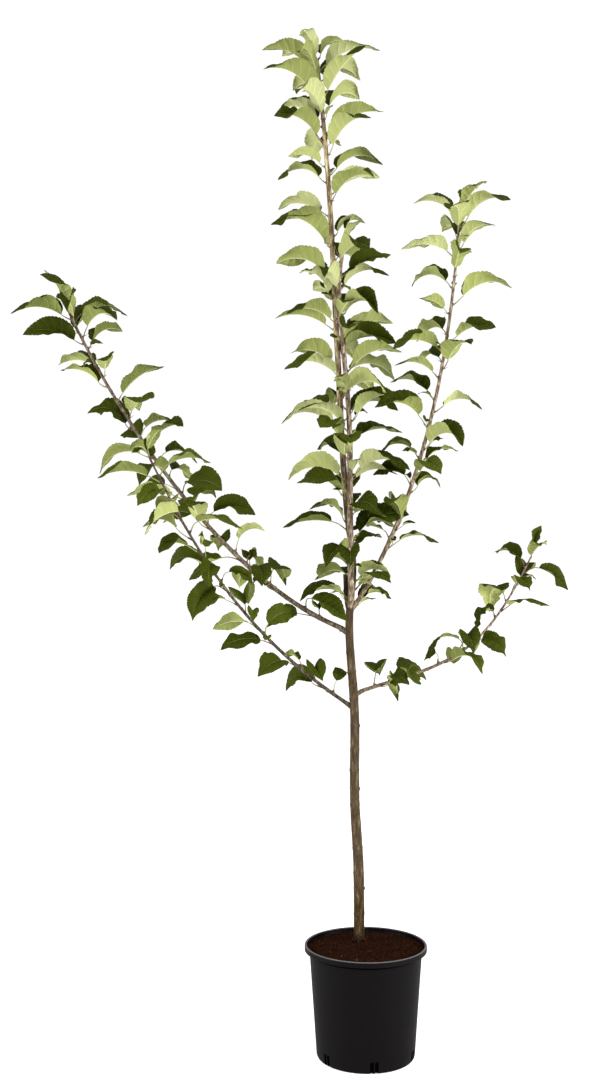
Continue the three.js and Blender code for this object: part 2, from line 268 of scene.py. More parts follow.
class Limb:
    """A tapering stem: its centres, directions and radii by distance from its foot, every millimetre."""

    leaves = LEADER_LEAVES

    def __init__(self, centres, radii):
        steps = np.linalg.norm(np.diff(centres, axis=0), axis=1)
        along = np.r_[0, np.cumsum(steps)]
        self.length = along[-1]
        self.along = np.linspace(0, self.length, int(self.length) + 1)
        self.centres = read_off(self.along, along, centres)
        self.radii = np.interp(self.along, along, radii)
        self.tangents = unit(np.gradient(self.centres, axis=0))
        self.sides = self.carried_sides()
        self.depths = np.cross(self.tangents, self.sides)

    def carried_sides(self):
        """A sideways direction for each station, carried along without twist."""
        sides = np.empty_like(self.tangents)
        side = np.array([1.0, 0.0, 0.0])
        for i, tangent in enumerate(self.tangents):
            side = side - tangent * side.dot(tangent)
            side = side / np.linalg.norm(side)
            sides[i] = side
        return sides

    def at(self, distance):
        """Centre, direction, sideways and depth directions, and radius, at one distance or at many."""
        columns = (self.centres, self.tangents, self.sides, self.depths)
        return (*(read_off(distance, self.along, rows) for rows in columns),
                np.interp(distance, self.along, self.radii))

    def distance_at_height(self, height):
        """Distance from the foot to a height, for a stem that climbs all the way."""
        return float(np.interp(height, self.centres[:, 2], self.along))


def with_thin_bark(radii, proud):
    """Radii with the bark that stands proud of thin shoots."""
    return radii + proud * smooth_step(THICK_STEM, THIN_STEM, radii)


def upright_stem(stations):
    """Centres and radii of an upright stem, up to its growing tip."""
    centres, radii = through_stations(stations, STEM_POINTS)
    below = centres[:, 2] < GROWING_TIP
    return centres[below], with_thin_bark(radii[below], THIN_BARK)


def rooted(trunk, centres, reach):
    """Centres whose foot bends over to the axis of the trunk that bears them."""
    axis = trunk.at(trunk.distance_at_height(centres[0][2] - ROOT_DROP))[0]
    away = np.linalg.norm(centres - centres[0], axis=1)[:, None]
    return centres + (axis - centres[0]) * np.exp(-(away / reach) ** 2)


def bough_limb(trunk, points, ends):
    """A bough along its curve, with a collar where it leaves the trunk."""
    centres = rooted(trunk, bezier(points, BOUGH_POINTS), ROOT_REACH["bough"])
    limb = Limb(centres, np.linspace(*ends, BOUGH_POINTS))
    limb.radii = with_thin_bark(np.interp(limb.along, [0, limb.length], ends), BOUGH_BARK)
    limb.radii = limb.radii + COLLAR["extra"] * np.exp(-limb.along / COLLAR["length"])
    return limb


def all_limbs():
    """The stems and boughs that bear leaves, by name."""
    trunk = Limb(*upright_stem(TRUNK_STATIONS))
    centres, radii = upright_stem(TWIN_STATIONS)
    limbs = {"trunk": trunk, "twin_stem": Limb(rooted(trunk, centres, ROOT_REACH["twin_stem"]), radii)}
    for name, (points, ends) in BOUGHS.items():
        limbs[name] = bough_limb(trunk, points, ends)
        limbs[name].leaves = BOUGH_LEAVES[name]
    return limbs


LIMBS = all_limbs()
# Centres and radii of all limbs, a few millimetres apart, and how far blades keep off them for their bark.
WOOD = np.concatenate([np.column_stack([limb.centres, limb.radii])[::3] for limb in LIMBS.values()])
BLADE_CLEARANCE = 1.4

# ---------------------------------------------------------------- mesh helpers


def grid_quads(rows, columns, wrap=False):
    """Faces of a grid of points in rows, closed round its columns where it wraps."""
    index = np.arange(rows * columns).reshape(rows, columns)
    if wrap:
        index = np.column_stack([index, index[:, 0]])
    corners = [index[:-1, :-1], index[:-1, 1:], index[1:, 1:], index[1:, :-1]]
    return np.stack(corners, axis=-1).reshape(-1, 4)


def end_fans(rows, columns):
    """Triangles that close both ends of a wrapped grid, whose two middle points come after it."""
    first = np.arange(columns)
    following = np.roll(first, -1)
    last = (rows - 1) * columns
    foot, top = rows * columns, rows * columns + 1
    low = np.column_stack([np.full(columns, foot), following, first])
    high = np.column_stack([np.full(columns, top), last + first, last + following])
    return np.concatenate([low, high])


class Parts:
    """Points, and four- and three-sided faces with their finish numbers, gathered for one piece."""

    def __init__(self):
        self.points, self.count = [], 0
        self.faces = {sides: [np.empty((0, sides), dtype=int)] for sides in (4, 3)}
        self.finishes = {sides: [] for sides in (4, 3)}

    def add(self, points, *faces_and_finishes):
        """Adds points, and faces between them with one finish number for all or one for each."""
        self.points.append(points)
        for faces, finish in faces_and_finishes:
            self.faces[faces.shape[1]].append(faces + self.count)
            self.finishes[faces.shape[1]].append(np.broadcast_to(finish, len(faces)))
        self.count += len(points)

    def add_rings(self, rings, ends, finish, end_finish):
        """Adds rings of points, joined each to the next and closed at both ends round a middle point."""
        rows, columns = np.shape(rings)[:2]
        self.add(np.concatenate([np.reshape(rings, (-1, 3)), ends]),
                 (grid_quads(rows, columns, wrap=True), finish), (end_fans(rows, columns), end_finish))


def placed(name, data):
    """A new object of the scene that holds this data."""
    made = bpy.data.objects.new(name, data)
    bpy.context.scene.collection.objects.link(made)
    return made


def mesh_piece(name, parts, materials, stands_for=(), sharp=50):
    """One object of the tree from its gathered faces, smooth but for edges sharper than an angle."""
    quads, triangles = np.concatenate(parts.faces[4]), np.concatenate(parts.faces[3])
    corners = np.concatenate([quads.ravel(), triangles.ravel()]).astype(np.int32)
    sizes = np.r_[np.full(len(quads), 4), np.full(len(triangles), 3)]
    starts = np.r_[0, np.cumsum(sizes)[:-1]].astype(np.int32)
    finish = np.concatenate([*parts.finishes[4], *parts.finishes[3]]).astype(np.int32)
    mesh = bpy.data.meshes.new(name)
    mesh.vertices.add(parts.count)
    mesh.vertices.foreach_set("co", (np.concatenate(parts.points) * MM).ravel())
    mesh.loops.add(len(corners))
    mesh.loops.foreach_set("vertex_index", corners)
    mesh.polygons.add(len(sizes))
    mesh.polygons.foreach_set("loop_start", starts)
    mesh.polygons.foreach_set("material_index", finish)
    mesh.update(calc_edges=True)
    mesh.validate()
    mesh.shade_smooth()
    mesh.set_sharp_from_angle(angle=math.radians(sharp))
    for material in materials:
        mesh.materials.append(material)
    made = placed(name, mesh)
    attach(made, BODY)
    if stands_for:
        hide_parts(*stands_for)
    return made


ODD_WAY = (0.31, 0.83, 0.46)       # a direction that no tube sets out along


def angles_round(count):
    """Evenly spaced angles once round."""
    return np.linspace(0, FULL_TURN, count, endpoint=False)


def tube(parts, centres, radii, sides, finish):
    """A closed round tube of any bend, with pointed or flat ends as its radii say."""
    centres = np.asarray(centres, dtype=float)
    tangents = unit(np.gradient(centres, axis=0))
    side = unit(np.cross(tangents[0], ODD_WAY))
    across, down = np.cos(angles_round(sides))[:, None], np.sin(angles_round(sides))[:, None]
    rings = []
    for centre, tangent, radius in zip(centres, tangents, radii):
        side = unit(side - tangent * side.dot(tangent))
        rings.append(centre + radius * (across * side + down * np.cross(tangent, side)))
    parts.add_rings(rings, centres[[0, -1]], finish, finish)


# ---------------------------------------------------------------- leaf blades

VEINS = 8                          # pairs of side veins in a full-grown leaf
SMALL_BLADE, SMALL_VEINS = 50, 4   # length below which a blade has fewer of them
ROWS_PER_VEIN = (0, 0.06, 0.28, 0.5, 0.72, 0.94)
BLADE_COLUMNS = (0, 0.035, 0.3, 0.58, 0.82, 1.0)
SMALL_COLUMNS = (0, 0.05, 0.5, 1.0)
RIB_STEPS = 40                     # straight steps that a midrib bends by
VEIN_SLANT = 0.15                  # how far forward a side vein runs, as a share of the length
# Outline of a blade: how fast it widens from its foot and narrows to its tip, and where it is widest.
FOOT_POWER, TIP_POWER, FULLEST = 0.6, 0.96, 0.385
BASE_WIDTH, TIP_WIDTH = 1.0, 0.25
BLADE_THICKNESS = 0.34
# Relief of a blade 100 mm long.
TOOTH_DEPTH = 1.4
QUILTING = 1.3                     # height of the blade between its side veins
VEIN_GROOVE, VEIN_RIDGE = 0.22, 0.4
RIB_GROOVE = 0.3
KEEL, KEEL_TAPER = 0.95, 0.75      # depth of the midrib beneath the foot, and how much the tip has less
LEAST_CURL = 0.02                  # a flatter blade is given this, since its arc is found by division
BITE = {"odds": 0.16, "place": (0.3, 0.8), "depth": (0.12, 0.3), "size": 0.05}    # a bite out of the margin

# Order of the finishes on a leaf piece: shades of the upper side, of the underside, ribs, upper veins.
# A side vein's far half beneath takes the next finish after its blade's, which is paler.
SHADES = 4
TOP, UNDER = 0, SHADES
RIB_UNDER, RIB_TOP, VEIN_TOP = range(2 * SHADES, 2 * SHADES + 3)


def blade_half_width(leaf, along):
    """Half width at a share of the length: rounded at the foot, drawn out to a point at the tip."""
    rounded = np.maximum(along, 0) ** FOOT_POWER * np.maximum(1 - along, 0) ** TIP_POWER
    fullest = FULLEST ** FOOT_POWER * (1 - FULLEST) ** TIP_POWER
    drawn_out = 1 - 0.18 * smooth_step(0.58, 0.92, along)
    stub = BASE_WIDTH * (1 - along) ** 6 + TIP_WIDTH
    return leaf["half_width"] * rounded / fullest * drawn_out + stub


def midrib(leaf):
    """Shares of a blade's length, and at each the rib's place and the ways to its left and up."""
    steps = np.linspace(0, 1, RIB_STEPS + 1)
    bend = leaf["rise"] + (leaf["fall"] - leaf["rise"]) * steps ** leaf["bend_late"]
    heading = leaf["heading"] + leaf["sweep"] * steps
    roll = leaf["roll"] + leaf["twist"] * steps ** 2.6
    level = np.column_stack([np.cos(heading), np.sin(heading), np.zeros_like(steps)])
    ahead = level * np.cos(bend)[:, None] + [0, 0, 1] * np.sin(bend)[:, None]
    left = np.column_stack([-np.sin(heading), np.cos(heading), np.zeros_like(steps)])
    above = np.cross(ahead, left)
    turned_left = left * np.cos(roll)[:, None] + above * np.sin(roll)[:, None]
    turned_up = above * np.cos(roll)[:, None] - left * np.sin(roll)[:, None]
    run = np.cumsum((ahead[1:] + ahead[:-1]) / 2, axis=0) * leaf["length"] / RIB_STEPS
    return steps, leaf["foot"] + np.concatenate([[np.zeros(3)], run]), turned_left, turned_up


def blade_surface(leaf, along, across):
    """Points and upward normals of a blade at shares of its length and of its half width (-1 to 1)."""
    steps, *rib_rows = midrib(leaf)
    middle, side_way, up_way = (read_off(along, steps, rows) for rows in rib_rows)
    out = np.abs(across)
    side = np.where(across < 0, -1.0, 1.0)
    lean = np.where(across < 0, leaf["uneven"], -leaf["uneven"])
    fold = leaf["fold"] + (leaf["tip_fold"] - leaf["fold"]) * smooth_step(0.3, 1, along) + lean
    curl = leaf["recurve"] * (0.55 + 1.9 * along ** 2)
    curl = np.where(np.abs(curl) < LEAST_CURL, LEAST_CURL, curl)
    slope = fold - curl * out
    reach = (np.sin(fold) - np.sin(slope)) / curl
    lift = (np.cos(slope) - np.cos(fold)) / curl
    width = blade_half_width(leaf, along)
    for bite, bite_side, depth in leaf["bites"]:
        width = width * (1 - depth * np.exp(-((along - bite) / BITE["size"]) ** 2) * (side == bite_side))
    normal = up_way * np.cos(slope)[..., None] - side_way * (side * np.sin(slope))[..., None]
    phase = np.where(across < 0, leaf["phase"][0], leaf["phase"][1])
    ripple = np.sin(FULL_TURN * leaf["ripples"] * along + phase) + 0.45 * np.sin(
        FULL_TURN * 2.3 * leaf["ripples"] * along + 1.7 * phase)
    wave = leaf["wave"] * ripple * out ** 2 * np.sin(math.pi * np.clip(along, 0, 1)) ** 0.7
    points = middle + (width * reach * side)[..., None] * side_way + (width * lift)[..., None] * up_way
    return points + wave[..., None] * normal, normal


def blade_rows(veins):
    """Shares of the length at each row: along the side veins, and evenly spaced on the margin."""
    inner = np.array([(v + f) / veins for v in range(veins) for f in ROWS_PER_VEIN] + [1.0])
    return inner, np.linspace(0, 1, len(inner))


def blade_layers(leaf, rng, across, veins):
    """Points of a blade's upper side and underside, and a mask of the rim, where they are the same."""
    inner, even = blade_rows(veins)
    rows, columns = len(inner), len(across)
    centre = columns // 2
    out = np.abs(across)
    margin = smooth_step(0.55, 1, out)
    row = inner[:, None] * (1 - margin) + even[:, None] * margin
    slant = VEIN_SLANT * np.sin(math.pi * row) ** 0.8 * out ** 1.3
    along = np.clip(row + slant, 0, 1)
    points, normal = blade_surface(leaf, along, np.broadcast_to(across, along.shape))

    # Teeth: every other point of the margin is drawn in, unevenly.
    inward = unit(points[:, centre][:, None] - points + 1e-9)
    notch = np.zeros((rows, columns))
    toothed = (np.arange(rows) % 2 == 1) & (even > 0.06) & (even < 0.97)
    for edge in (0, columns - 1):
        notch[:, edge] = toothed * TOOTH_DEPTH * leaf["length"] / 100 * rng.uniform(0.35, 1.65, rows)
    points = points + inward * notch[..., None]

    # Quilting between the veins, and a keel under the midrib.
    place = (inner * veins) % 1
    swell = np.sin(math.pi * place) ** 0.8
    fade = np.clip(1 - out ** 4, 0, 1) * smooth_step(0, 0.3, out)
    size = leaf["length"] / 100
    quilt = QUILTING * size * swell[:, None] * fade * np.sin(math.pi * np.clip(along, 0, 1)) ** 0.5
    raised = points + quilt[..., None] * normal
    vein_row = (np.abs(place) < 1e-6)[:, None] * fade
    keel = np.zeros((rows, columns))
    keel[:, centre] = (KEEL - KEEL_TAPER * inner) * size
    upper = raised + normal * (BLADE_THICKNESS / 2 - VEIN_GROOVE * vein_row * size)[..., None]
    lower = raised - normal * (BLADE_THICKNESS / 2 + VEIN_RIDGE * vein_row * size + keel)[..., None]
    upper[:, centre] -= normal[:, centre] * RIB_GROOVE * size
    rim = np.ones((rows, columns), dtype=bool)
    rim[1:-1, 1:-1] = False
    upper[rim] = points[rim]
    return upper, lower, rim


def face_finishes(leaf, across, rows, half):
    """Finish numbers of the faces on a blade's upper side and on its underside."""
    out = np.abs(across)
    middle = (out[:-1] + out[1:]) / 2
    is_rib = np.broadcast_to(middle < half[1], (rows - 1, len(middle))).ravel()
    step = np.arange(rows - 1) % len(ROWS_PER_VEIN)
    after_vein = step == 0
    beside_vein = after_vein | (step == len(ROWS_PER_VEIN) - 1)
    within = (middle < half[-2])[None, :]
    vein_up, vein_down = (beside_vein[:, None] & within).ravel(), (after_vein[:, None] & within).ravel()
    shade_up, shade_down = leaf["shades"]
    up = np.where(is_rib, RIB_TOP, np.where(vein_up, VEIN_TOP, TOP + shade_up))
    return up, np.where(is_rib, RIB_UNDER, UNDER + shade_down + vein_down)


def add_blade(parts, leaf, rng):
    """One toothed blade with quilted veins, its upper side and underside meeting at the margin."""
    small = leaf["length"] < SMALL_BLADE
    half = SMALL_COLUMNS if small else BLADE_COLUMNS
    across = np.array([-c for c in half[:0:-1]] + list(half))
    upper, lower, rim = blade_layers(leaf, rng, across, SMALL_VEINS if small else VEINS)
    quads = grid_quads(*rim.shape)
    low_index = np.arange(rim.size)
    low_index[~rim.ravel()] = rim.size + np.arange((~rim).sum())
    facing_up = quads[:, [0, 3, 2, 1]]
    up, down = face_finishes(leaf, across, len(rim), half)
    parts.add(np.concatenate([upper.reshape(-1, 3), lower[~rim]]), (facing_up, up), (low_index[quads], down))


# ---------------------------------------------------------------- growth

FAR_OUT = 2.2                      # how many spreads a leaf's measure may lie from its mean
YOUNG = {"rise": 72, "fall": 30, "fold": 62}               # angles of a leaf that stands up at a tip
# Vigour below which leaves are a shade lighter above, and over which they can be paler beneath.
WEAK, STRONG = 0.6, 0.7
STUNTED = {"odds": 0.12, "scale": (0.55, 0.8)}             # leaves that stay small among the others
SPUR_LEAF = {"odds": 0.25, "turn": 0.7, "vigour": 0.4, "scale": (0.28, 0.42), "upright": 0.2}
FOOT_DEPTH = 0.85                  # how far out from the pith a stalk is rooted, as a share of the radius
# Of a mass on the leader: how far below its foot and its top the stalks are rooted, since leaves rise.
NODES_BELOW, TOP_NODES_BELOW = 30, 18
LOW_MASSES = 5                     # masses on the leader that make up its lower leaf piece
# Vigour by height: on the leader its least, and how much it gains between two heights, twice. On a bough
# it rises from none to the bough's own between the last two heights.
LEAST_VIGOUR, GAINS, BOUGH_GAIN = 0.6, ((0.4, 950, 1400), (0.2, 1750, 1930)), (900, 1450)
# Where a blade is tried against the room and the wood, and the ways it turns aside from them.
ROOM_GRID = np.meshgrid([0, 0.3, 0.6, 0.8, 1.0], [-1.0, 0, 1])
WOOD_GRID = np.meshgrid(np.linspace(0, 1, 15), np.linspace(-1, 1, 7))
ASIDE = np.radians([0, *(hand * turn for turn in range(20, 101, 20) for hand in (1, -1))])
NEARBY = 1.2                       # lengths of a leaf within which wood is looked for


def new_leaf(rng, limb, place, vigour, scale, upright):
    """The measures of one leaf on a limb. Upright is 1 for a young leaf that stands up at a tip.

    Older leaves roll so that their upper side turns to the light, which comes from the front (-Y), and
    vigorous ones twist towards it at their tip.
    """
    foot, tangent, outward = place

    def drawn(key):
        mean, spread = (shaded + (vigorous - shaded) * vigour for shaded, vigorous in zip(*HABITS[key]))
        value = mean + spread * float(np.clip(rng.normal(), -FAR_OUT, FAR_OUT))
        return value * (1 - upright) + YOUNG[key] * upright if key in YOUNG else value

    length = drawn("length") * scale * limb.leaves["size"]
    stalk = drawn("petiole") * (0.45 + 0.55 * scale) * (1 - 0.35 * upright)
    lift = np.array([0, 0, 0.25 + 0.35 * (1 - vigour)])
    spread = 0.82 * (1 - 0.6 * upright)
    away = unit(tangent * (1 - spread * 0.55) + outward * spread + lift)
    level = (away + 0.6 * outward) * [1, 1, 0]
    heading = math.atan2(level[1], level[0]) + rng.normal() * 0.16
    rise, fall = drawn("rise") * DEGREE, drawn("fall") * DEGREE
    spur = foot + away * max(0.5, drawn("spur")) * min(1, scale)
    ahead = np.array([math.cos(heading) * math.cos(rise), math.sin(heading) * math.cos(rise), math.sin(rise)])
    end = spur + away * stalk * 0.55 + ahead * stalk * 0.45
    sweep = drawn("sweep") * DEGREE * (1 - upright)
    bites = []
    if rng.random() < BITE["odds"]:
        bites.append((rng.uniform(*BITE["place"]), rng.choice([-1, 1]), rng.uniform(*BITE["depth"])))
    return {
        "foot": end,
        "spur": [foot - outward * 0.5, spur],
        "stalk": [spur - away * 0.5, spur + away * stalk * 0.5, end - ahead * stalk * 0.25, end],
        "heading": heading - sweep * 0.35,
        "length": length,
        "half_width": length * drawn("breadth") * (1 - 0.25 * upright),
        "rise": rise,
        "fall": fall,
        "bend_late": rng.uniform(0.85, 1.25),
        "sweep": sweep,
        "fold": drawn("fold") * DEGREE,
        "tip_fold": drawn("tip_fold") * DEGREE,
        "uneven": rng.normal() * 6 * DEGREE,
        "recurve": drawn("recurve"),
        "roll": (
            drawn("roll") + (drawn("light_turn") + limb.leaves["light_turn"]) * math.cos(heading)
        ) * DEGREE,
        "twist": (
            drawn("twist") + TIP_TURN * vigour * math.cos(heading)
        ) * DEGREE * (1 - 0.7 * upright),
        "wave": max(0.6, drawn("wave")) * scale,
        "ripples": rng.uniform(1.2, 2.2),
        "phase": rng.uniform(0, FULL_TURN, 2),
        "bites": bites,
        "shades": (int(rng.integers(3)) + (vigour < WEAK),
                   int(rng.integers(3)) + (vigour > STRONG) * limb.leaves["paler"]),
        "vigour": vigour,
    }


def wood_touches(leaf):
    """How many points of a leaf's blade lie on or in the bark of a limb."""
    points, _ = blade_surface(leaf, *WOOD_GRID)
    near = WOOD[np.abs(WOOD[:, 2] - leaf["foot"][2]) < NEARBY * leaf["length"]]
    apart = np.linalg.norm(points.reshape(-1, 1, 3) - near[:, :3], axis=2)
    return int(np.sum(np.any(apart < near[:, 3] + BLADE_CLEARANCE, axis=1)))


def kept_in_room(leaf):
    """Turns a leaf's heading, a step at a time to either side, until its blade is within the room.

    Of the headings that are, it takes the first that is clear of the wood, or else the clearest.
    """
    headings = leaf["heading"] + ASIDE
    touches = {}
    for heading in headings:
        leaf["heading"] = heading
        points, _ = blade_surface(leaf, *ROOM_GRID)
        if np.all(points > ROOM[0]) and np.all(points < ROOM[1]):
            touches[heading] = wood_touches(leaf)
            if touches[heading] == 0:
                return leaf
    leaf["heading"] = min(touches, key=touches.get) if touches else headings[-1]
    return leaf


def limb_node(limb, distance, turn):
    """Where a leaf stands on a limb: its foot in the bark, the limb's direction and the way out."""
    centre, tangent, side, depth, radius = limb.at(distance)
    outward = math.cos(turn) * side + math.sin(turn) * depth
    return centre + outward * radius * FOOT_DEPTH, unit(tangent), unit(outward)


def grow_spray(limb, start, end, leaves, vigour, seed, tip=False):
    """Leaves in a spiral along a stretch of limb. A tip ends in young leaves that stand upright."""
    rng = np.random.default_rng(seed)
    turn = BROAD_TURN + rng.choice([0, math.pi]) + rng.normal() * 0.25
    grown = []
    for i in range(leaves):
        last = leaves - 1 - i
        upright = max(0.0, 1 - last / 3.2) ** 1.2 if tip else 0.0
        scale = 1 - (1 - limb.leaves["youngest"]) * upright * rng.uniform(0.85, 1.1)
        if rng.random() < STUNTED["odds"] and not tip:
            scale = rng.uniform(*STUNTED["scale"])
        share = np.clip((i + 0.5 + rng.normal() * 0.14) / leaves, 0, 1)
        if tip:
            share = 1 - (1 - share) ** CROWDING
        spot = min(start + (end - start) * share, limb.length - 0.5)
        side = turn + rng.normal() * 0.18
        leaf = new_leaf(rng, limb, limb_node(limb, spot, side), vigour, scale, upright)
        leaf["node"] = (limb, spot, side)
        grown.append(kept_in_room(leaf))
        if rng.random() < SPUR_LEAF["odds"] and not upright:
            beside = limb_node(limb, spot, turn + rng.choice([-1, 1]) * SPUR_LEAF["turn"])
            grown.append(kept_in_room(new_leaf(
                rng, limb, beside, SPUR_LEAF["vigour"], rng.uniform(*SPUR_LEAF["scale"]),
                SPUR_LEAF["upright"])))
        turn += LEAF_TURN
    return grown


def following_stretches(limb, start, end, vigour, sprays, is_tip):
    """A stretch of limb shared between sprays by their numbers of leaves, as grow_spray takes them."""
    counts = [leaves for leaves, _ in sprays]
    shares = np.cumsum(counts) / sum(counts)
    if is_tip:
        shares = 1 - (1 - shares) ** CROWDING
    ends = start + (end - start) * shares
    starts = [start, *ends[:-1]]
    return [
        (limb, a, b, leaves, vigour, seed, is_tip and i == len(sprays) - 1)
        for i, (a, b, (leaves, seed)) in enumerate(zip(starts, ends, sprays))
    ]


def leader_stretches(mass):
    """The stretches of stem that a mass on the leader grows on."""
    trunk, twin = LIMBS["trunk"], LIMBS["twin_stem"]
    twin_top = TWIN_STATIONS[-1][0]
    low, high, sprays = mass
    is_tip = high > GROWING_TIP
    low, high = low - NODES_BELOW, GROWING_TIP if is_tip else high - TOP_NODES_BELOW
    vigour = LEAST_VIGOUR + float(sum(gain * smooth_step(a, b, low) for gain, a, b in GAINS))
    if low < twin_top - 20:
        return [
            (stem, stem.distance_at_height(low), stem.distance_at_height(high), leaves, vigour, seed,
             stem is twin and high > twin_top)
            for stem, (leaves, seed) in zip((trunk, twin), sprays)
        ]
    start, end = trunk.distance_at_height(low), trunk.distance_at_height(high)
    return following_stretches(trunk, start, end, vigour, sprays, is_tip)


def bough_stretches(bough, mass, is_tip):
    """The stretches of a bough that one of its masses grows on."""
    limb = LIMBS[bough]
    start, end, sprays = mass[0] * limb.length, mass[1] * limb.length, mass[2]
    height = limb.at(start)[0][2]
    vigour = float(smooth_step(*BOUGH_GAIN, height)) * BOUGH_LEAVES[bough]["vigour"]
    return following_stretches(limb, start, end, vigour, sprays, is_tip)


def all_stretches():
    """For each mass of foliage, the stretches that its leaves grow on."""
    plan = {f"leader_foliage_{i + 1}": leader_stretches(row) for i, row in enumerate(LEADER_MASSES)}
    for bough, rows in BOUGH_MASSES.items():
        for i, row in enumerate(rows):
            is_tip = row is rows[-1]
            name = f"{bough}_tuft" if is_tip else f"{bough}_foliage_{i + 1}"
            plan[name] = bough_stretches(bough, row, is_tip)
    return plan


def all_foliage():
    """The masses that each leaf piece stands for, and its leaves, by the name of the piece."""
    stretches = all_stretches()
    leader = [name for name in stretches if name.startswith("leader")]
    pieces = {"leader_low": leader[:LOW_MASSES], "leader_high": leader[LOW_MASSES:]}
    for bough in BOUGH_MASSES:
        pieces[bough] = [name for name in stretches if name.startswith(bough)]
    return {
        name: (masses, [
            leaf for mass in masses for stretch in stretches[mass] for leaf in grow_spray(*stretch)
        ])
        for name, masses in pieces.items()
    }


# ---------------------------------------------------------------- materials

WHITE = (1, 1, 1, 1)


def fill(tree, socket, value):
    """Links a socket to another node's output, or sets it to a constant."""
    if isinstance(value, bpy.types.NodeSocket):
        tree.links.new(value, socket)
    else:
        socket.default_value = value


def new_node(tree, kind, inputs=None, **settings):
    """A shader node with its settings, whose inputs are other nodes' outputs or constants."""
    node = tree.nodes.new(f"ShaderNode{kind}")
    for name, value in settings.items():
        setattr(node, name, value)
    for socket, value in (inputs or {}).items():
        fill(tree, node.inputs[socket], value)
    return node


def worked_out(tree, kind, output, inputs=None, **settings):
    """One output of a new shader node."""
    return new_node(tree, kind, inputs, **settings).outputs[output]


def grain_group():
    """An uneven surface: its grain from 0 to 1, the roughness that follows the grain, and its normal."""
    group = bpy.data.node_groups.new("surface_grain", "ShaderNodeTree")
    for name in ("Scale", "Stretch", "Low Roughness", "High Roughness", "Relief"):
        group.interface.new_socket(name=name, in_out="INPUT", socket_type="NodeSocketFloat")
    for name, kind in (("Grain", "Float"), ("Roughness", "Float"), ("Normal", "Vector")):
        group.interface.new_socket(name=name, in_out="OUTPUT", socket_type=f"NodeSocket{kind}")
    given = group.nodes.new("NodeGroupInput").outputs
    results = group.nodes.new("NodeGroupOutput").inputs
    place = worked_out(group, "TexCoord", "Object")
    stretch = worked_out(group, "CombineXYZ", "Vector", {"X": 1, "Y": 1, "Z": given["Stretch"]})
    scaled = worked_out(group, "VectorMath", "Vector", {0: place, 1: stretch}, operation="MULTIPLY")
    noise = worked_out(group, "TexNoise", "Fac", {
        "Vector": scaled, "Scale": given["Scale"], "Detail": 5, "Roughness": 0.6,
    })
    grain = worked_out(group, "MapRange", "Result", {"Value": noise, "From Min": 0.3, "From Max": 0.7})
    roughness = worked_out(group, "MapRange", "Result", {
        "Value": grain, "To Min": given["Low Roughness"], "To Max": given["High Roughness"],
    })
    normal = worked_out(group, "Bump", "Normal", {"Height": noise, "Distance": given["Relief"]})
    for name, value in (("Grain", grain), ("Roughness", roughness), ("Normal", normal)):
        fill(group, results[name], value)
    return group


GRAIN = grain_group()


class Finish:
    """A new material whose gloss and normal come from its grain."""

    def __init__(self, name, roughness, scale, relief, stretch=1.0, specular=0.5):
        self.material = bpy.data.materials.new(name)
        self.material.use_nodes = True
        self.tree = self.material.node_tree
        grain = new_node(self.tree, "Group", {
            "Scale": scale, "Stretch": stretch, "Relief": relief,
            "Low Roughness": roughness[0], "High Roughness": roughness[1],
        }, node_tree=GRAIN).outputs
        self.grain = grain["Grain"]
        self.fill("Specular IOR Level", specular)
        self.fill("Roughness", grain["Roughness"])
        self.fill("Normal", grain["Normal"])

    def fill(self, socket, value):
        """Links a socket of the shader to a node's output, or sets it to a constant."""
        fill(self.tree, self.tree.nodes["Principled BSDF"].inputs[socket], value)

    def painted(self, colour):
        """The material in this colour."""
        self.fill("Base Color", colour)
        return self.material

    def ramp(self, *stops):
        """A colour that goes through (position, colour) stops as the grain rises."""
        ramp = new_node(self.tree, "ValToRGB", {"Fac": self.grain})
        elements = ramp.color_ramp.elements
        while len(elements) < len(stops):
            elements.new(0.5)
        for element, (position, colour) in zip(elements, stops):
            element.position = position
            element.color = (*colour, 1)
        return ramp.outputs["Color"]

    def by_height(self, low, high, below, above):
        """One colour below a height and another above a higher one, in metres."""
        place = worked_out(self.tree, "TexCoord", "Object")
        height = worked_out(self.tree, "SeparateXYZ", "Z", {"Vector": place})
        share = worked_out(self.tree, "MapRange", "Result", {
            "Value": height, "From Min": low, "From Max": high,
        }, interpolation_type="SMOOTHSTEP")
        return worked_out(self.tree, "Mix", 2, {0: share, 6: below, 7: above}, data_type="RGBA")


def plain_finish(name, colour, roughness, scale, relief, specular=0.5):
    """One colour, for small parts that get their variety by being dealt several such finishes."""
    return Finish(name, roughness, scale, relief, specular=specular).painted((*colour, 1))


def leaf_finishes():
    """Shades of the upper side, shades of the downy underside, and the ribs and veins."""
    tops = [(0.033, 0.045, 0.0017), (0.040, 0.053, 0.0022), (0.052, 0.069, 0.0035), (0.070, 0.092, 0.006)]
    unders = [(0.27, 0.305, 0.085), (0.38, 0.42, 0.13), (0.51, 0.55, 0.20), (0.61, 0.645, 0.28)]
    return [
        *(plain_finish(f"leaf_top_{i + 1}", colour, (0.42, 0.62), 600, 0.0002, 0.05)
          for i, colour in enumerate(tops)),
        *(plain_finish(f"leaf_underside_{i + 1}", colour, (0.7, 0.9), 1300, 0.000015, 0.06)
          for i, colour in enumerate(unders)),
        plain_finish("leaf_rib_below", (0.80, 0.79, 0.47), (0.5, 0.7), 900, 0.0002, 0.2),
        plain_finish("leaf_rib_above", (0.14, 0.18, 0.035), (0.4, 0.6), 900, 0.0002, 0.2),
        plain_finish("leaf_vein_above", (0.054, 0.072, 0.005), (0.4, 0.6), 900, 0.0002, 0.1),
    ]


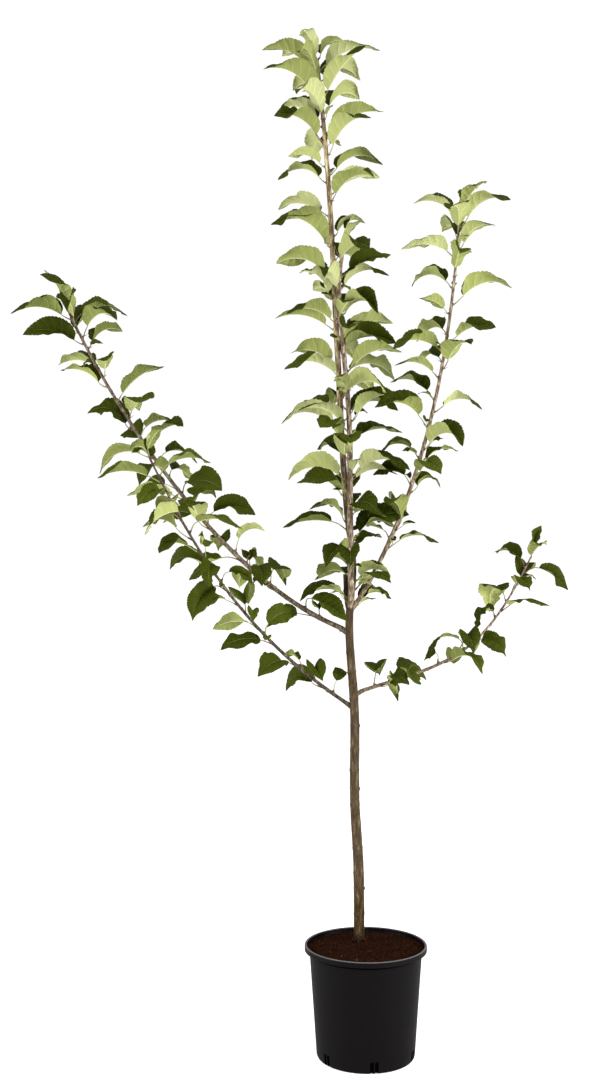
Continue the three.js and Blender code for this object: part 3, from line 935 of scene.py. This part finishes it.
def stalk_finishes():
    """Green and reddened leaf stalks, red-brown buds and spurs, and dark stipules."""
    return [
        plain_finish("leaf_stalk_green", (0.38, 0.39, 0.16), (0.4, 0.6), 800, 0.0002, 0.3),
        plain_finish("leaf_stalk_red", (0.26, 0.16, 0.11), (0.4, 0.6), 800, 0.0002, 0.3),
        plain_finish("bud_scales", (0.12, 0.065, 0.045), (0.4, 0.7), 900, 0.0004, 0.3),
        plain_finish("stipule", (0.055, 0.050, 0.022), (0.5, 0.7), 900, 0.0002, 0.2),
    ]


def trunk_bark():
    """Olive-brown bark in upright streaks: damp and darkened with painted contact shade at the foot, then
    golden with moss, paler above the fork.
    """
    bark = Finish("trunk_bark", (0.55, 0.85), 170, 0.0012, 0.22, 0.2)
    # Near black at the foot, where the trunk meets the compost: damp bark with painted contact shade.
    damp_and_painted_shade = bark.ramp((0.0, (0.006, 0.003, 0.0015)), (1.0, (0.040, 0.022, 0.008)))
    moss = bark.ramp((0.0, (0.013, 0.007, 0.002)), (0.35, (0.048, 0.026, 0.0075)),
                     (0.7, (0.110, 0.066, 0.020)), (1.0, (0.27, 0.185, 0.068)))
    lower = bark.ramp((0.0, (0.031, 0.017, 0.007)), (0.4, (0.076, 0.048, 0.022)),
                      (0.75, (0.132, 0.091, 0.048)), (1.0, (0.25, 0.195, 0.12)))
    upper = bark.ramp((0.0, (0.045, 0.024, 0.011)), (0.35, (0.235, 0.153, 0.070)),
                      (0.65, (0.63, 0.495, 0.27)), (1.0, (0.92, 0.84, 0.58)))
    # The painted contact shade fades out upwards into the moss.
    colour = bark.by_height(0.241, 0.257, damp_and_painted_shade, moss)
    colour = bark.by_height(0.30, 0.40, colour, lower)
    return bark.painted(bark.by_height(1.02, 1.38, colour, upper))


def shoot_bark(name, tone):
    """Smooth brown bark with a greyish bloom, lighter or darker by its tone."""
    bark = Finish(name, (0.4, 0.65), 240, 0.0006, 0.3, 0.25)
    stops = [(0.0, (0.036, 0.019, 0.011)), (0.4, (0.158, 0.106, 0.066)),
             (0.75, (0.35, 0.278, 0.184)), (1.0, (0.65, 0.58, 0.43))]
    return bark.painted(bark.ramp(*((place, np.multiply(brown, tone)) for place, brown in stops)))


def pot_finishes():
    """Satin black moulded plastic: the wall's, the near-black strip's under the collar, which is a painted
    shadow of the collar, and the collar's.

    The collar is a little glossier, and pale along its top edge with scuffs and a painted highlight.
    """
    wall = Finish("pot_plastic", (0.42, 0.54), 420, 0.00012, 0.35, 0.09)
    body = wall.ramp((0.0, (0.0034, 0.0024, 0.0030)), (1.0, (0.0054, 0.0041, 0.0049)))
    # A near-black, barely glossy strip under the collar: a painted shadow cast by the collar.
    painted_collar_shadow = plain_finish("pot_plastic_painted_shadow", (0.0012, 0.0009, 0.0011), (0.5, 0.6), 420, 0.0001, 0.02)
    collar = Finish("pot_plastic_collar", (0.36, 0.5), 420, 0.00012, 0.35, 0.11)
    side = collar.ramp((0.0, (0.0024, 0.0017, 0.0020)), (1.0, (0.0052, 0.0040, 0.0046)))
    # Pale along the collar's rounded top edge: scuffs, and a painted highlight where the light catches it.
    scuffs_and_painted_highlight = collar.ramp((0.0, (0.085, 0.078, 0.077)), (1.0, (0.25, 0.235, 0.235)))
    edge = [(POT["height"] - down) * MM for down in (2.0, 0.2)]
    return [wall.painted(body), painted_collar_shadow, collar.painted(collar.by_height(*edge, side, scuffs_and_painted_highlight))]


def compost_finishes():
    """The compost's ground, the crumbs and fibres in it, and the sides of the root ball, near black with
    painted shade.
    """
    ground = Finish("compost_ground", (0.8, 1.0), 260, 0.0025, 1.0, 0.03)
    colour = ground.ramp((0.0, (0.010, 0.0028, 0.0011)), (0.5, (0.026, 0.0076, 0.0030)),
                         (1.0, (0.048, 0.0165, 0.0070)))
    crumbs = {
        "crumb_black": (0.0105, 0.0036, 0.0018),
        "crumb_brown": (0.026, 0.0082, 0.0036),
        "crumb_red": (0.040, 0.0128, 0.0056),
        "crumb_ochre": (0.060, 0.026, 0.010),
        "crumb_pale": (0.105, 0.075, 0.052),
    }
    return [
        ground.painted(colour),
        *(plain_finish(name, shade, (0.75, 0.95), 700, 0.001, 0.03) for name, shade in crumbs.items()),
        # Near black: painted shade on the root ball's sides inside the pot.
        plain_finish("root_ball_painted_shade", (0.0022, 0.0012, 0.0009), (0.8, 1.0), 300, 0.002, 0.02),
    ]


# ---------------------------------------------------------------- leaves, stalks, buds


def add_spur(parts, leaf, finish):
    """The short knobbly twig that an older leaf stands on, or the swollen seat of a young one."""
    foot, end = (np.asarray(point) for point in leaf["spur"])
    reach = np.linalg.norm(end - foot)
    rings = 4 + int(reach / 1.5)
    share = np.linspace(0, 1, rings)
    wide = 1.1 + 0.06 * min(reach, 10)
    radii = wide * (1.25 - 0.45 * share + 0.14 * (np.arange(rings) % 2))
    tube(parts, foot + (end - foot) * share[:, None], radii, 8, finish)


BUD = {"above": 2.4, "length": 4.4, "radius": 1.5}


def add_bud(parts, leaf, finish):
    """A pointed bud pressed to the bark above a leaf's seat."""
    foot, tangent, outward = limb_node(*leaf["node"])
    start = foot + tangent * BUD["above"] + outward * 0.4
    share = np.linspace(0, 1, 6)[:, None]
    path = start + tangent * share * BUD["length"] + outward * np.sin(share * 2.2) * 1.0
    tube(parts, path, BUD["radius"] * np.array([0.55, 0.95, 1.0, 0.8, 0.45, 0.1]), 7, finish)


def add_stipules(parts, leaf, rng, finish):
    """A pair of narrow pointed stipules at the foot of a young leaf's stalk."""
    foot, end = np.asarray(leaf["stalk"][0]), np.asarray(leaf["stalk"][1])
    away = unit(end - foot)
    side = unit(np.cross(away, [0.0, 0.0, 1.0]))
    for hand in (-1, 1):
        reach = rng.uniform(6, 11)
        share = np.linspace(0, 1, 6)[:, None]
        curl = hand * side * (share * 0.7 + share ** 2 * rng.uniform(-0.2, 0.4))
        droop = share ** 2 * rng.uniform(-2, 3) * [0, 0, 1]
        path = foot + away * (3 + share * reach * 0.8) + curl * reach + droop
        tube(parts, path, np.array([0.45, 0.75, 0.7, 0.5, 0.3, 0.06]), 4, finish)


RED_STALKS = 0.35                  # share of the stalks that are reddened
STIPULES_FROM = 0.5                # vigour above which leaves have stipules


def add_leaves(foliage):
    """Blades in one piece for each limb, and their stalks, spurs, buds and stipules in another."""
    blade_finishes, twig_finishes = leaf_finishes(), stalk_finishes()
    green, red, brown, dark = range(4)
    for name, (masses, leaves) in foliage.items():
        rng = np.random.default_rng(len(leaves))
        blades, twigs = Parts(), Parts()
        for leaf in leaves:
            add_blade(blades, leaf, rng)
            thick = 0.5 + 0.6 * min(1, leaf["length"] / 100)
            tube(twigs, bezier(leaf["stalk"], 8), np.linspace(thick * 1.3, thick * 0.85, 8), 7,
                 red if rng.random() < RED_STALKS else green)
            add_spur(twigs, leaf, brown)
            if "node" in leaf:
                add_bud(twigs, leaf, brown)
                if leaf["vigour"] > STIPULES_FROM:
                    add_stipules(twigs, leaf, rng, dark)
        mesh_piece(f"{name}_leaves", blades, blade_finishes, masses, sharp=75)
        mesh_piece(f"{name}_twigs", twigs, twig_finishes)


# ---------------------------------------------------------------- limbs

SCAR = {"height": 2.0, "tall": 3.4, "wide": 3.6}      # an old bud's knob on bare bark
KNOT = {"height": 0.9, "tall": 3.6, "wide": 2.6}      # the swelling under a leaf
POINTED = {"length": 13, "share": 0.88}                # how a growing end narrows
LUMPS = {"height": 0.36, "length": 34, "round": 5}
STREAKS = {"height": 0.17, "length": 9}
PORES = 0.07                       # height of the finest relief
# Of each kind of limb: its slot, the faces round it, the length of each, and how rough its bark is.
TRUNK_KIND, STUB_KIND, SHOOT_KIND = ("bark", 40, 1.8, 1.0), ("bark", 28, 1.6, 1.0), ("shoot", 24, 2.2, 0.6)
LENTICEL_GAP = 9                   # millimetres of bough for each lenticel


def ring_noise(rng, limb, distances, angles, step, cells_round):
    """Noise over a limb's surface, with cells of a given length and so many round it."""
    cells = rng.uniform(-1, 1, (int(limb.length / step) + 2, cells_round))
    return lattice_noise(cells, distances[:, None] / step, angles[None, :] / FULL_TURN * cells_round)


def bare_nodes(rng, start, end, gap):
    """Old bud scars on a stretch that bears no leaves, turning as the leaves once did."""
    nodes, spot, turn = [], start, rng.uniform(0, FULL_TURN)
    while spot < end:
        nodes.append((spot, turn))
        spot += gap * rng.uniform(0.6, 1.4)
        turn += LEAF_TURN + rng.normal() * 0.3
    return nodes


def add_lenticels(parts, points, outward, tangents, rng, count, finish):
    """Small raised blisters on the bark, each a low cone standing on a point of the surface."""
    around, upward = np.cos(angles_round(7))[:, None], np.sin(angles_round(7))[:, None]
    for _ in range(count):
        i, j = rng.integers(2, len(points) - 2), rng.integers(points.shape[1])
        spot, along, out = points[i, j], tangents[i], outward[i, j]
        tall, wide = rng.uniform(0.5, 1.6), rng.uniform(0.4, 0.9)
        ring = spot + wide * around * np.cross(along, out) + tall * upward * along
        parts.add_rings([ring - out * 0.25], [spot - out * 0.7, spot + out * 0.4], finish, finish)


def bark_relief(rng, limb, distances, angles, radius, roughness):
    """Height of the bark's lumps, streaks and pores, by distance and angle."""
    sides = len(angles)
    thick = np.clip(radius / 10, 0.05, 1.2)
    relief = LUMPS["height"] * thick * ring_noise(
        rng, limb, distances, angles, LUMPS["length"], LUMPS["round"])
    relief += STREAKS["height"] * thick * roughness * ring_noise(
        rng, limb, distances, angles, STREAKS["length"], sides // 2)
    relief += PORES * thick * roughness * rng.uniform(-1, 1, (len(distances), sides))
    return relief


def raise_knot(relief, distances, angles, radius, spot, turn, bump):
    """Raises one scar or knot in a bark's relief, with a faint ring round the limb."""
    nearby = np.abs(distances - spot) < 4 * bump["tall"]
    rise = distances[nearby][:, None] - spot
    around = (angles[None, :] - turn + math.pi) % FULL_TURN - math.pi
    reach = np.where(rise > 0, bump["tall"] * 0.6, bump["tall"])
    shape = np.exp(-(rise / reach) ** 2 - (around * radius[nearby] / bump["wide"]) ** 2)
    size = bump["height"] * np.clip(radius[nearby] / 7, 0.45, 1.1)
    relief[nearby] += size * shape + 0.22 * size * np.exp(-(rise / bump["tall"]) ** 2)


def add_limb(name, stands_for, limb, kind, finishes, seed, nodes, scars, lenticels):
    """A limb with the relief of its bark: lumps, streaks, bud scars, and the swellings under leaves.

    A limb that bears leaves grows, and ends in a point. One that bears none ends in sawn wood.
    """
    slot, sides, spacing, roughness = kind
    knots = [(spot, turn) for bearer, spot, turn in nodes if bearer is limb]
    rng = np.random.default_rng(seed)
    distances = np.linspace(0, limb.length, int(limb.length / spacing) + 1)
    angles = angles_round(sides)
    centres, tangents, sideways, depths, radius = limb.at(distances)
    radius = radius[:, None]
    if knots:
        narrowing = smooth_step(limb.length - POINTED["length"], limb.length, distances)
        radius = radius * (1 - POINTED["share"] * narrowing[:, None])
    relief = bark_relief(rng, limb, distances, angles, radius, roughness)
    for bump, places in ((SCAR, scars), (KNOT, knots)):
        for spot, turn in places:
            raise_knot(relief, distances, angles, radius, spot, turn, bump)
    outward = (np.cos(angles)[None, :, None] * sideways[:, None]
               + np.sin(angles)[None, :, None] * depths[:, None])
    points = centres[:, None] + outward * (radius + relief)[..., None]
    bark, lenticel, end_grain = range(3)
    parts = Parts()
    parts.add_rings(points, centres[[0, -1]], bark, bark if knots else end_grain)
    add_lenticels(parts, points, outward, tangents, rng, lenticels, lenticel)
    mesh_piece(name, parts, finishes, [stands_for])


def add_limbs(foliage):
    """Trunk, twin stem, sawn stub and boughs."""
    rng = np.random.default_rng(7)
    lenticel = plain_finish("lenticel", (0.36, 0.30, 0.20), (0.6, 0.8), 900, 0.0003, 0.2)
    end_grain = plain_finish("sawn_wood", (0.17, 0.12, 0.08), (0.7, 0.9), 700, 0.0006, 0.2)
    old_wood = [trunk_bark(), lenticel, end_grain]
    young_wood = [shoot_bark("twin_bark", BARK_TONES["twin_stem"]), lenticel, end_grain]
    nodes = [leaf["node"] for _, leaves in foliage.values() for leaf in leaves if "node" in leaf]
    trunk, twin = LIMBS["trunk"], LIMBS["twin_stem"]
    scars = bare_nodes(rng, 60, trunk.distance_at_height(900), 42)
    add_limb("trunk_wood", "trunk", trunk, TRUNK_KIND, old_wood, 1, nodes, scars, 420)
    add_limb("twin_wood", "twin_stem", twin, SHOOT_KIND, young_wood, 2, nodes, [], 110)
    for i, bough in enumerate(BOUGHS):
        limb = LIMBS[bough]
        scars = bare_nodes(rng, 20, limb.length * 0.9, 55)
        wood = [shoot_bark(f"{bough}_bark", BARK_TONES[bough]), lenticel, end_grain]
        add_limb(f"{bough}_wood", f"{bough}_bough", limb, SHOOT_KIND, wood, 3 + i, nodes, scars,
                 int(limb.length / LENTICEL_GAP))
    pith = rooted(trunk, np.linspace(STUB["foot"], STUB["top"], STUB_POINTS), ROOT_REACH["stub"])
    stub = Limb(pith, np.full(STUB_POINTS, STUB["radius"]))
    scars = bare_nodes(rng, 30, 80, 30)
    add_limb("stub_wood", "pruned_stub", stub, STUB_KIND, old_wood, 9, nodes, scars, 20)


# ---------------------------------------------------------------- pot and compost

POT_COLUMNS = 144
POT_SHARP = 35                     # degrees from which the pot's edges are sharp
LIP_ROUND = 2.2
GROOVE = {"inner": 58, "outer": 63, "depth": 0.6}      # moulded under the base
SLIT_ROUND = 1.6
COLLAR_SHADOW_STRIP = 6                    # height of the near-black strip under the collar, a painted shadow of the collar
FLOOR_RADIUS = 60                  # of the flat middle of the pot's floor and the root ball's foot


def arc(centre, radius, start, end, count):
    """[radius, height] points round a centre, from one angle to another in degrees."""
    angles = np.radians(np.linspace(start, end, count))
    return [(centre[0] + radius * math.cos(a), centre[1] + radius * math.sin(a)) for a in angles]


def wall_radius(height):
    """Outer radius of the pot's wall at a height."""
    return POT["base_radius"] + (POT["wall_top_radius"] - POT["base_radius"]) * height / POT["height"]


def level_ways(angle):
    """The level direction at an angle, and the one to its left."""
    return np.array([math.cos(angle), math.sin(angle), 0]), np.array([-math.sin(angle), math.cos(angle), 0])


def turned(parts, profile, strips):
    """A closed profile, from its foot on the axis to its top on the axis, turned about the axis.

    Each strip between two points of the profile has its own finish.
    """
    angles = angles_round(POT_COLUMNS)
    reach, heights = np.array(profile[1:-1]).T[..., None]
    rings = np.stack([reach * np.cos(angles), reach * np.sin(angles), heights + 0 * angles], axis=-1)
    ends = [(0, 0, profile[0][1]), (0, 0, profile[-1][1])]
    parts.add_rings(rings, ends, *(np.repeat(rows, POT_COLUMNS) for rows in (strips[1:-1], strips[[0, -1]])))


def pot_profile():
    """Underside, foot and wall, the lip's collar that steps out above it, its ledge, inner wall and floor."""
    height, wall, corner, rim = POT["height"], POT["wall"], POT["corner_radius"], POT["rim_radius"]
    lip_foot = height - POT["lip_depth"]
    ledge = lip_foot + wall
    lip_inner = rim - POT["lip_thickness"]
    ledge_inner = wall_radius(ledge) - wall
    # The wall's points stop where the strip of painted collar shadow begins.
    rising = [*np.linspace(corner + 1, lip_foot - COLLAR_SHADOW_STRIP, 20), lip_foot - 1]
    outside = [(wall_radius(z), z) for z in rising]
    inside = [(wall_radius(z) - wall, z) for z in np.linspace(ledge - 2, corner + 1, 20)]
    return [
        (0, 0), (GROOVE["inner"], 0), (GROOVE["inner"] + 1, GROOVE["depth"]),
        (GROOVE["outer"] - 1, GROOVE["depth"]), (GROOVE["outer"], 0),
        *arc((POT["base_radius"] - corner, corner), corner, -90, 0, 8),
        *outside,
        *arc((wall_radius(lip_foot) + 1, lip_foot - 1), 1, 180, 90, 3),
        *arc((rim - 1, lip_foot + 1), 1, -90, 0, 4),
        (rim, lip_foot + 3), (rim, height - LIP_ROUND - 2),
        *arc((rim - LIP_ROUND, height - LIP_ROUND), LIP_ROUND, 0, 90, 8),
        *arc((lip_inner + LIP_ROUND, height - LIP_ROUND), LIP_ROUND, 90, 180, 8),
        (lip_inner, height - LIP_ROUND - 2),
        *arc((lip_inner - 1, ledge + 1), 1, 0, -90, 3),
        *arc((ledge_inner + 1, ledge - 1), 1, 90, 180, 4),
        *inside,
        *arc((POT["base_radius"] - corner, corner), corner - wall, 0, -90, 6),
        (FLOOR_RADIUS, POT["base"]), (0, POT["base"]),
    ]


def slit_cutters():
    """Long bars, rounded at the top, that cut the drainage slits in pairs round the foot of the wall."""
    parts = Parts()
    half, top = DRAIN["slit_width"] / 2, DRAIN["height"]
    outline = [(-half, -5), (half, -5), *arc((half - SLIT_ROUND, top - SLIT_ROUND), SLIT_ROUND, 0, 90, 4),
               *arc((SLIT_ROUND - half, top - SLIT_ROUND), SLIT_ROUND, 90, 180, 4)]
    inner = POT["base_radius"] - POT["corner_radius"] - DRAIN["inset"] + POT["wall"]
    outer = wall_radius(top) + 3
    for i in range(DRAIN["count"]):
        ahead, left = level_ways(math.radians(DRAIN["first_angle"] + 360 / DRAIN["count"] * i))
        for side in (-0.5, 0.5):
            across = side * DRAIN["slit_pitch"]
            ends = [
                [ahead * reach + left * (across + y) + [0, 0, z] for y, z in outline]
                for reach in (inner, outer)
            ]
            parts.add_rings(ends, np.mean(ends, axis=1), 0, 0)
    return parts


def add_pot():
    """The pot, turned in one piece with its slits cut through."""
    finishes = pot_finishes()
    wall, painted_collar_shadow, collar = range(3)
    body, profile = Parts(), pot_profile()
    heights = np.array(profile)[:, 1]
    middles = (heights[:-1] + heights[1:]) / 2
    lip_foot = POT["height"] - POT["lip_depth"]
    # The strip just under the collar takes the painted shadow of the collar.
    strips = np.where(middles > lip_foot - COLLAR_SHADOW_STRIP, painted_collar_shadow, wall)
    turned(body, profile, np.where(middles > lip_foot + 0.5, collar, strips))
    pot = mesh_piece("pot_body", body, finishes, ["pot"])
    cutter = mesh_piece("slit_bars", slit_cutters(), finishes[:1])
    cut = pot.modifiers.new("slits", "BOOLEAN")
    cut.object = cutter
    cut.operation = "DIFFERENCE"
    cut.solver = "EXACT"
    mesh = bpy.data.meshes.new_from_object(pot.evaluated_get(bpy.context.evaluated_depsgraph_get()))
    pot.modifiers.clear()
    pot.data = mesh
    mesh.shade_smooth()
    mesh.set_sharp_from_angle(angle=math.radians(POT_SHARP))
    bpy.data.objects.remove(cutter)


# Length of a cell and height of each layer of the compost's unevenness, whose cells repeat after a while.
UNEVEN_LAYERS, LAYER_CELLS = ((24, 1.1), (8, 0.6), (3.1, 0.4)), 120
LAYER_START = 200                  # how far left of and before the axis the layers start
MOUND = {"height": 3.2, "uneven": 2.4, "flat": 12, "slope": 8}         # round the trunk


class Ground:
    """The uneven top of the compost, which spills over the pot's ledge, as a height for each place."""

    def __init__(self, seed):
        rng = np.random.default_rng(seed)
        self.layers = [
            (cell, size, rng.uniform(-1, 1, (LAYER_CELLS, LAYER_CELLS))) for cell, size in UNEVEN_LAYERS
        ]
        self.ledge = POT["height"] - POT["lip_depth"] + POT["wall"]
        self.wall = wall_radius(self.ledge) - POT["wall"]
        self.edge = POT["rim_radius"] - POT["lip_thickness"] - 0.3
        self.trunk = LIMBS["trunk"].centres[0]

    def height(self, x, y):
        """Height of the compost at a place."""
        reach = np.hypot(x, y)
        level = SOIL["level"] - SOIL["edge_drop"] * smooth_step(SOIL["flat_radius"], self.edge, reach)
        uneven = sum(
            size * lattice_noise(cells, (x + LAYER_START) / cell, (y + LAYER_START) / cell)
            for cell, size, cells in self.layers
        )
        away = np.hypot(x - self.trunk[0], y - self.trunk[1])
        mound = (MOUND["height"] + MOUND["uneven"] * uneven) * np.exp(
            -((away - MOUND["flat"]) / MOUND["slope"]).clip(0) ** 2)
        height = level + uneven + mound
        on_ledge = np.maximum(height, self.ledge + 0.5 + 0.3 * uneven.clip(0))
        return np.where(reach > self.wall - 1, on_ledge, height)


# Shares of the crumbs that take each finish: ground, black, brown, red, ochre, pale and the root ball's
# painted shade.
CRUMB_SHARES = (0, 0.31, 0.42, 0.21, 0.05, 0.01, 0)
BLACK, OCHRE, ROOT_BALL_SHADE = 1, 4, 6
CRUMBS, HEAPED_CRUMBS, FIBRES = 5900, 300, 280
CHIPS, CHIP_SHAPE = 0.05, (2.4, 1.1, 0.45)             # share and shape of the flat chips of bark
FIBRE_RADIUS, FIBRE_HEIGHT = 0.22, 0.7                 # and how high fibres lie over the ground
CLEAR_OF_TRUNK = 11.2
HEAP = (11, 17)                    # reach of the crumbs heaped round the trunk's middle
SHADED_EDGE = 2.5                  # width of the dark ring against the lip, painted shade under the rim


def places_round(rng, reach):
    """Level places all round, at these distances."""
    turn = rng.uniform(0, FULL_TURN, len(reach))
    return np.column_stack([reach * np.cos(turn), reach * np.sin(turn)])


def spread_places(rng, count, ground):
    """Places spread evenly over the compost, clear of the trunk."""
    places = places_round(rng, ground.edge * np.sqrt(rng.uniform(0, 1, count * 2)) - 1)
    clear = np.hypot(*(places - ground.trunk[:2]).T) > CLEAR_OF_TRUNK
    return places[clear][:count]


def heaped_places(rng, count, ground):
    """Places close round the trunk, where crumbs lie heaped against the bark."""
    return ground.trunk[:2] + places_round(rng, rng.uniform(*HEAP, count))


def add_crumbs(parts, rng, ground, finishes):
    """Crumbs and flat chips of bark: small uneven lumps lying at all angles."""
    corners = np.array([(1, 0, 0), (-1, 0, 0), (0, 1, 0), (0, -1, 0), (0, 0, 1), (0, 0, -1)], dtype=float)
    faces = np.array([(0, 2, 4), (2, 1, 4), (1, 3, 4), (3, 0, 4), (2, 0, 5), (1, 2, 5), (3, 1, 5), (0, 3, 5)])
    places = [spread_places(rng, CRUMBS, ground), heaped_places(rng, HEAPED_CRUMBS, ground)]
    for i, (x, y) in enumerate(np.concatenate(places)):
        size = 0.55 + 1.9 * rng.random() ** 3
        shape = size * rng.uniform(0.65, 1.3, 3)
        if rng.random() < CHIPS:
            shape = size * np.array(CHIP_SHAPE)
        ahead, left = level_ways(rng.uniform(0, FULL_TURN))
        ways = np.array([ahead, left, [0, 0, 1]])
        ways[:2, 2] = rng.normal() * 0.25, rng.normal() * 0.25
        lump = (corners * shape * rng.uniform(0.75, 1.2, (6, 1))) @ ways
        away = math.hypot(x - ground.trunk[0], y - ground.trunk[1])
        heaped = rng.uniform(0, 0.8) * (HEAP[1] - away) if i >= len(places[0]) else 0
        middle = np.array([x, y, ground.height(x, y) + 0.25 * size + heaped])
        finish = rng.choice(finishes, p=CRUMB_SHARES)
        # Crumbs close to the lip are black: painted shade under the rim.
        if math.hypot(x, y) > ground.edge - SHADED_EDGE * rng.uniform(0.7, 1.6):
            finish = BLACK
        parts.add(lump + middle, (faces, finish))


def add_fibres(parts, rng, ground):
    """Thin bowed fibres that follow the ground."""
    for x, y in spread_places(rng, FIBRES, ground):
        turn, reach = rng.uniform(0, FULL_TURN), rng.uniform(5, 13)
        ahead, left = level_ways(turn)
        bow = left * rng.normal() * 2
        path = [[x, y, 0] + ahead * reach * t + bow * math.sin(math.pi * t)
                for t in np.linspace(-0.5, 0.5, 5)]
        path = [[px, py, ground.height(px, py) + FIBRE_HEIGHT] for px, py, _ in path
                if math.hypot(px, py) < ground.edge - 1]
        if len(path) > 2:
            tube(parts, path, np.full(len(path), FIBRE_RADIUS), 4, OCHRE)


def add_compost():
    """The compost's uneven top and its sides against the pot, near black with painted shade, with crumbs and
    fibres lying on it.
    """
    finishes = compost_finishes()
    rng = np.random.default_rng(21)
    ground = Ground(5)
    floor, wall, corner = POT["base"] + 0.4, POT["wall"] + 0.4, POT["corner_radius"]
    profile = [(0, floor), (FLOOR_RADIUS, floor),
               *arc((POT["base_radius"] - corner, corner), corner - wall, -90, 0, 5)]
    profile += [(wall_radius(z) - wall, z) for z in np.linspace(corner + 4, ground.ledge + 0.1, 12)]
    first_top = len(profile)
    profile += [(reach, SOIL["level"]) for reach in np.linspace(ground.edge - 0.1, 0.8, 80)]
    profile.append((0, SOIL["level"]))
    # The ground's outer strips are black: painted shade under the rim.
    strips = np.where(np.array(profile)[:-1, 0] > ground.edge - SHADED_EDGE, BLACK, 0)
    # The sides take the near-black finish: painted shade inside the pot.
    strips[:first_top - 1] = ROOT_BALL_SHADE
    body = Parts()
    turned(body, profile, strips)
    points = body.points[0]
    top = np.r_[(first_top - 1) * POT_COLUMNS:len(points) - 2, len(points) - 1]
    points[top, 2] = ground.height(points[top, 0], points[top, 1])
    mesh_piece("compost_ground", body, finishes, ["compost"])
    crumbs = Parts()
    add_crumbs(crumbs, rng, ground, range(len(finishes)))
    add_fibres(crumbs, rng, ground)
    mesh_piece("compost_crumbs", crumbs, finishes)


# ---------------------------------------------------------------- stage

SURROUND_LIGHT, SURROUND_SHOWN = 0.33, 1.05
FLOOR_GLOW = 0.9
FLOOR_HALF = 40
PAINTED_SHADOW_UNDER_POT = (0.094, 0.102)         # metres from the axis over which the floor's glow comes in; nearer, it is left dark as a painted shadow under the pot
SOFTBOX_SIZE = 1.4
LIT_PLACE = (-0.1, 0, 1.0)         # where the softboxes point, in metres
SOFTBOXES = {
    "left_softbox": ((-3.1, -0.9, 1.3), 66),
    "right_softbox": ((2.9, -1.4, 1.3), 78),
    "front_softbox": ((0.9, -3.4, 2.3), 32),
    "top_softbox": ((0.1, -0.9, 4.0), 32),
}
FRAME_HEIGHT_PX = 1086
FOCAL_PX = 1340.6
CAMERA_PLACE = (-0.1396, -2.85, 1.090)
SENSOR = 36.0


def add_surround():
    """A white surround, which lights the tree less than it shows behind it."""
    world = bpy.data.worlds.new("studio")
    world.use_nodes = True
    tree = world.node_tree
    lighting, shown = tree.nodes["Background"], new_node(tree, "Background")
    for background, strength in ((lighting, SURROUND_LIGHT), (shown, SURROUND_SHOWN)):
        background.inputs["Color"].default_value = WHITE
        background.inputs["Strength"].default_value = strength
    seen = worked_out(tree, "LightPath", "Is Camera Ray")
    mix = worked_out(tree, "MixShader", 0, {0: seen, 1: lighting.outputs[0], 2: shown.outputs[0]})
    fill(tree, tree.nodes["World Output"].inputs["Surface"], mix)
    bpy.context.scene.world = world


def add_softbox(name, place, power):
    """A square softbox at a place, turned to the tree."""
    light = bpy.data.lights.new(name, "AREA")
    light.size = SOFTBOX_SIZE
    light.energy = power
    lamp = placed(name, light)
    lamp.location = place
    lamp.rotation_euler = (Vector(LIT_PLACE) - Vector(place)).to_track_quat("-Z", "Y").to_euler()


def add_stage():
    """A pale floor under soft light, which glows faintly to the eye except in a painted shadow under the pot.
    """
    mesh = bpy.data.meshes.new("floor")
    corners = [(x * FLOOR_HALF, y * FLOOR_HALF, 0) for x, y in ((-1, -1), (1, -1), (1, 1), (-1, 1))]
    mesh.from_pydata(corners, [], [(0, 1, 2, 3)])
    floor = placed("floor", mesh)
    paint = Finish("floor_paint", (0.75, 0.85), 30, 0.0001, specular=0.1)
    place = worked_out(paint.tree, "TexCoord", "Object")
    reach = worked_out(paint.tree, "VectorMath", "Value", {0: place}, operation="LENGTH")
    # No glow under the pot: a painted shadow there.
    clear = worked_out(paint.tree, "MapRange", "Result", {
        "Value": reach, "From Min": PAINTED_SHADOW_UNDER_POT[0], "From Max": PAINTED_SHADOW_UNDER_POT[1], "To Max": FLOOR_GLOW,
    })
    seen = worked_out(paint.tree, "LightPath", "Is Camera Ray")
    glow = worked_out(paint.tree, "Math", "Value", {0: seen, 1: clear}, operation="MULTIPLY")
    paint.fill("Emission Color", WHITE)
    paint.fill("Emission Strength", glow)
    mesh.materials.append(paint.painted((0.85, 0.85, 0.85, 1)))
    add_surround()
    for name, (place, power) in SOFTBOXES.items():
        add_softbox(name, place, power)


def add_camera():
    """The camera, level, and the plain view of its colours."""
    data = bpy.data.cameras.new("camera")
    data.sensor_fit = "VERTICAL"
    data.sensor_height = SENSOR
    data.lens = SENSOR * FOCAL_PX / FRAME_HEIGHT_PX
    data.clip_end = 50
    camera = placed("camera", data)
    camera.location = CAMERA_PLACE
    camera.rotation_euler = (math.radians(90), 0, 0)
    bpy.context.scene.camera = camera
    bpy.context.scene.view_settings.view_transform = "Standard"


add_camera()
add_stage()
add_pot()
add_compost()
foliage = all_foliage()
add_limbs(foliage)
add_leaves(foliage)
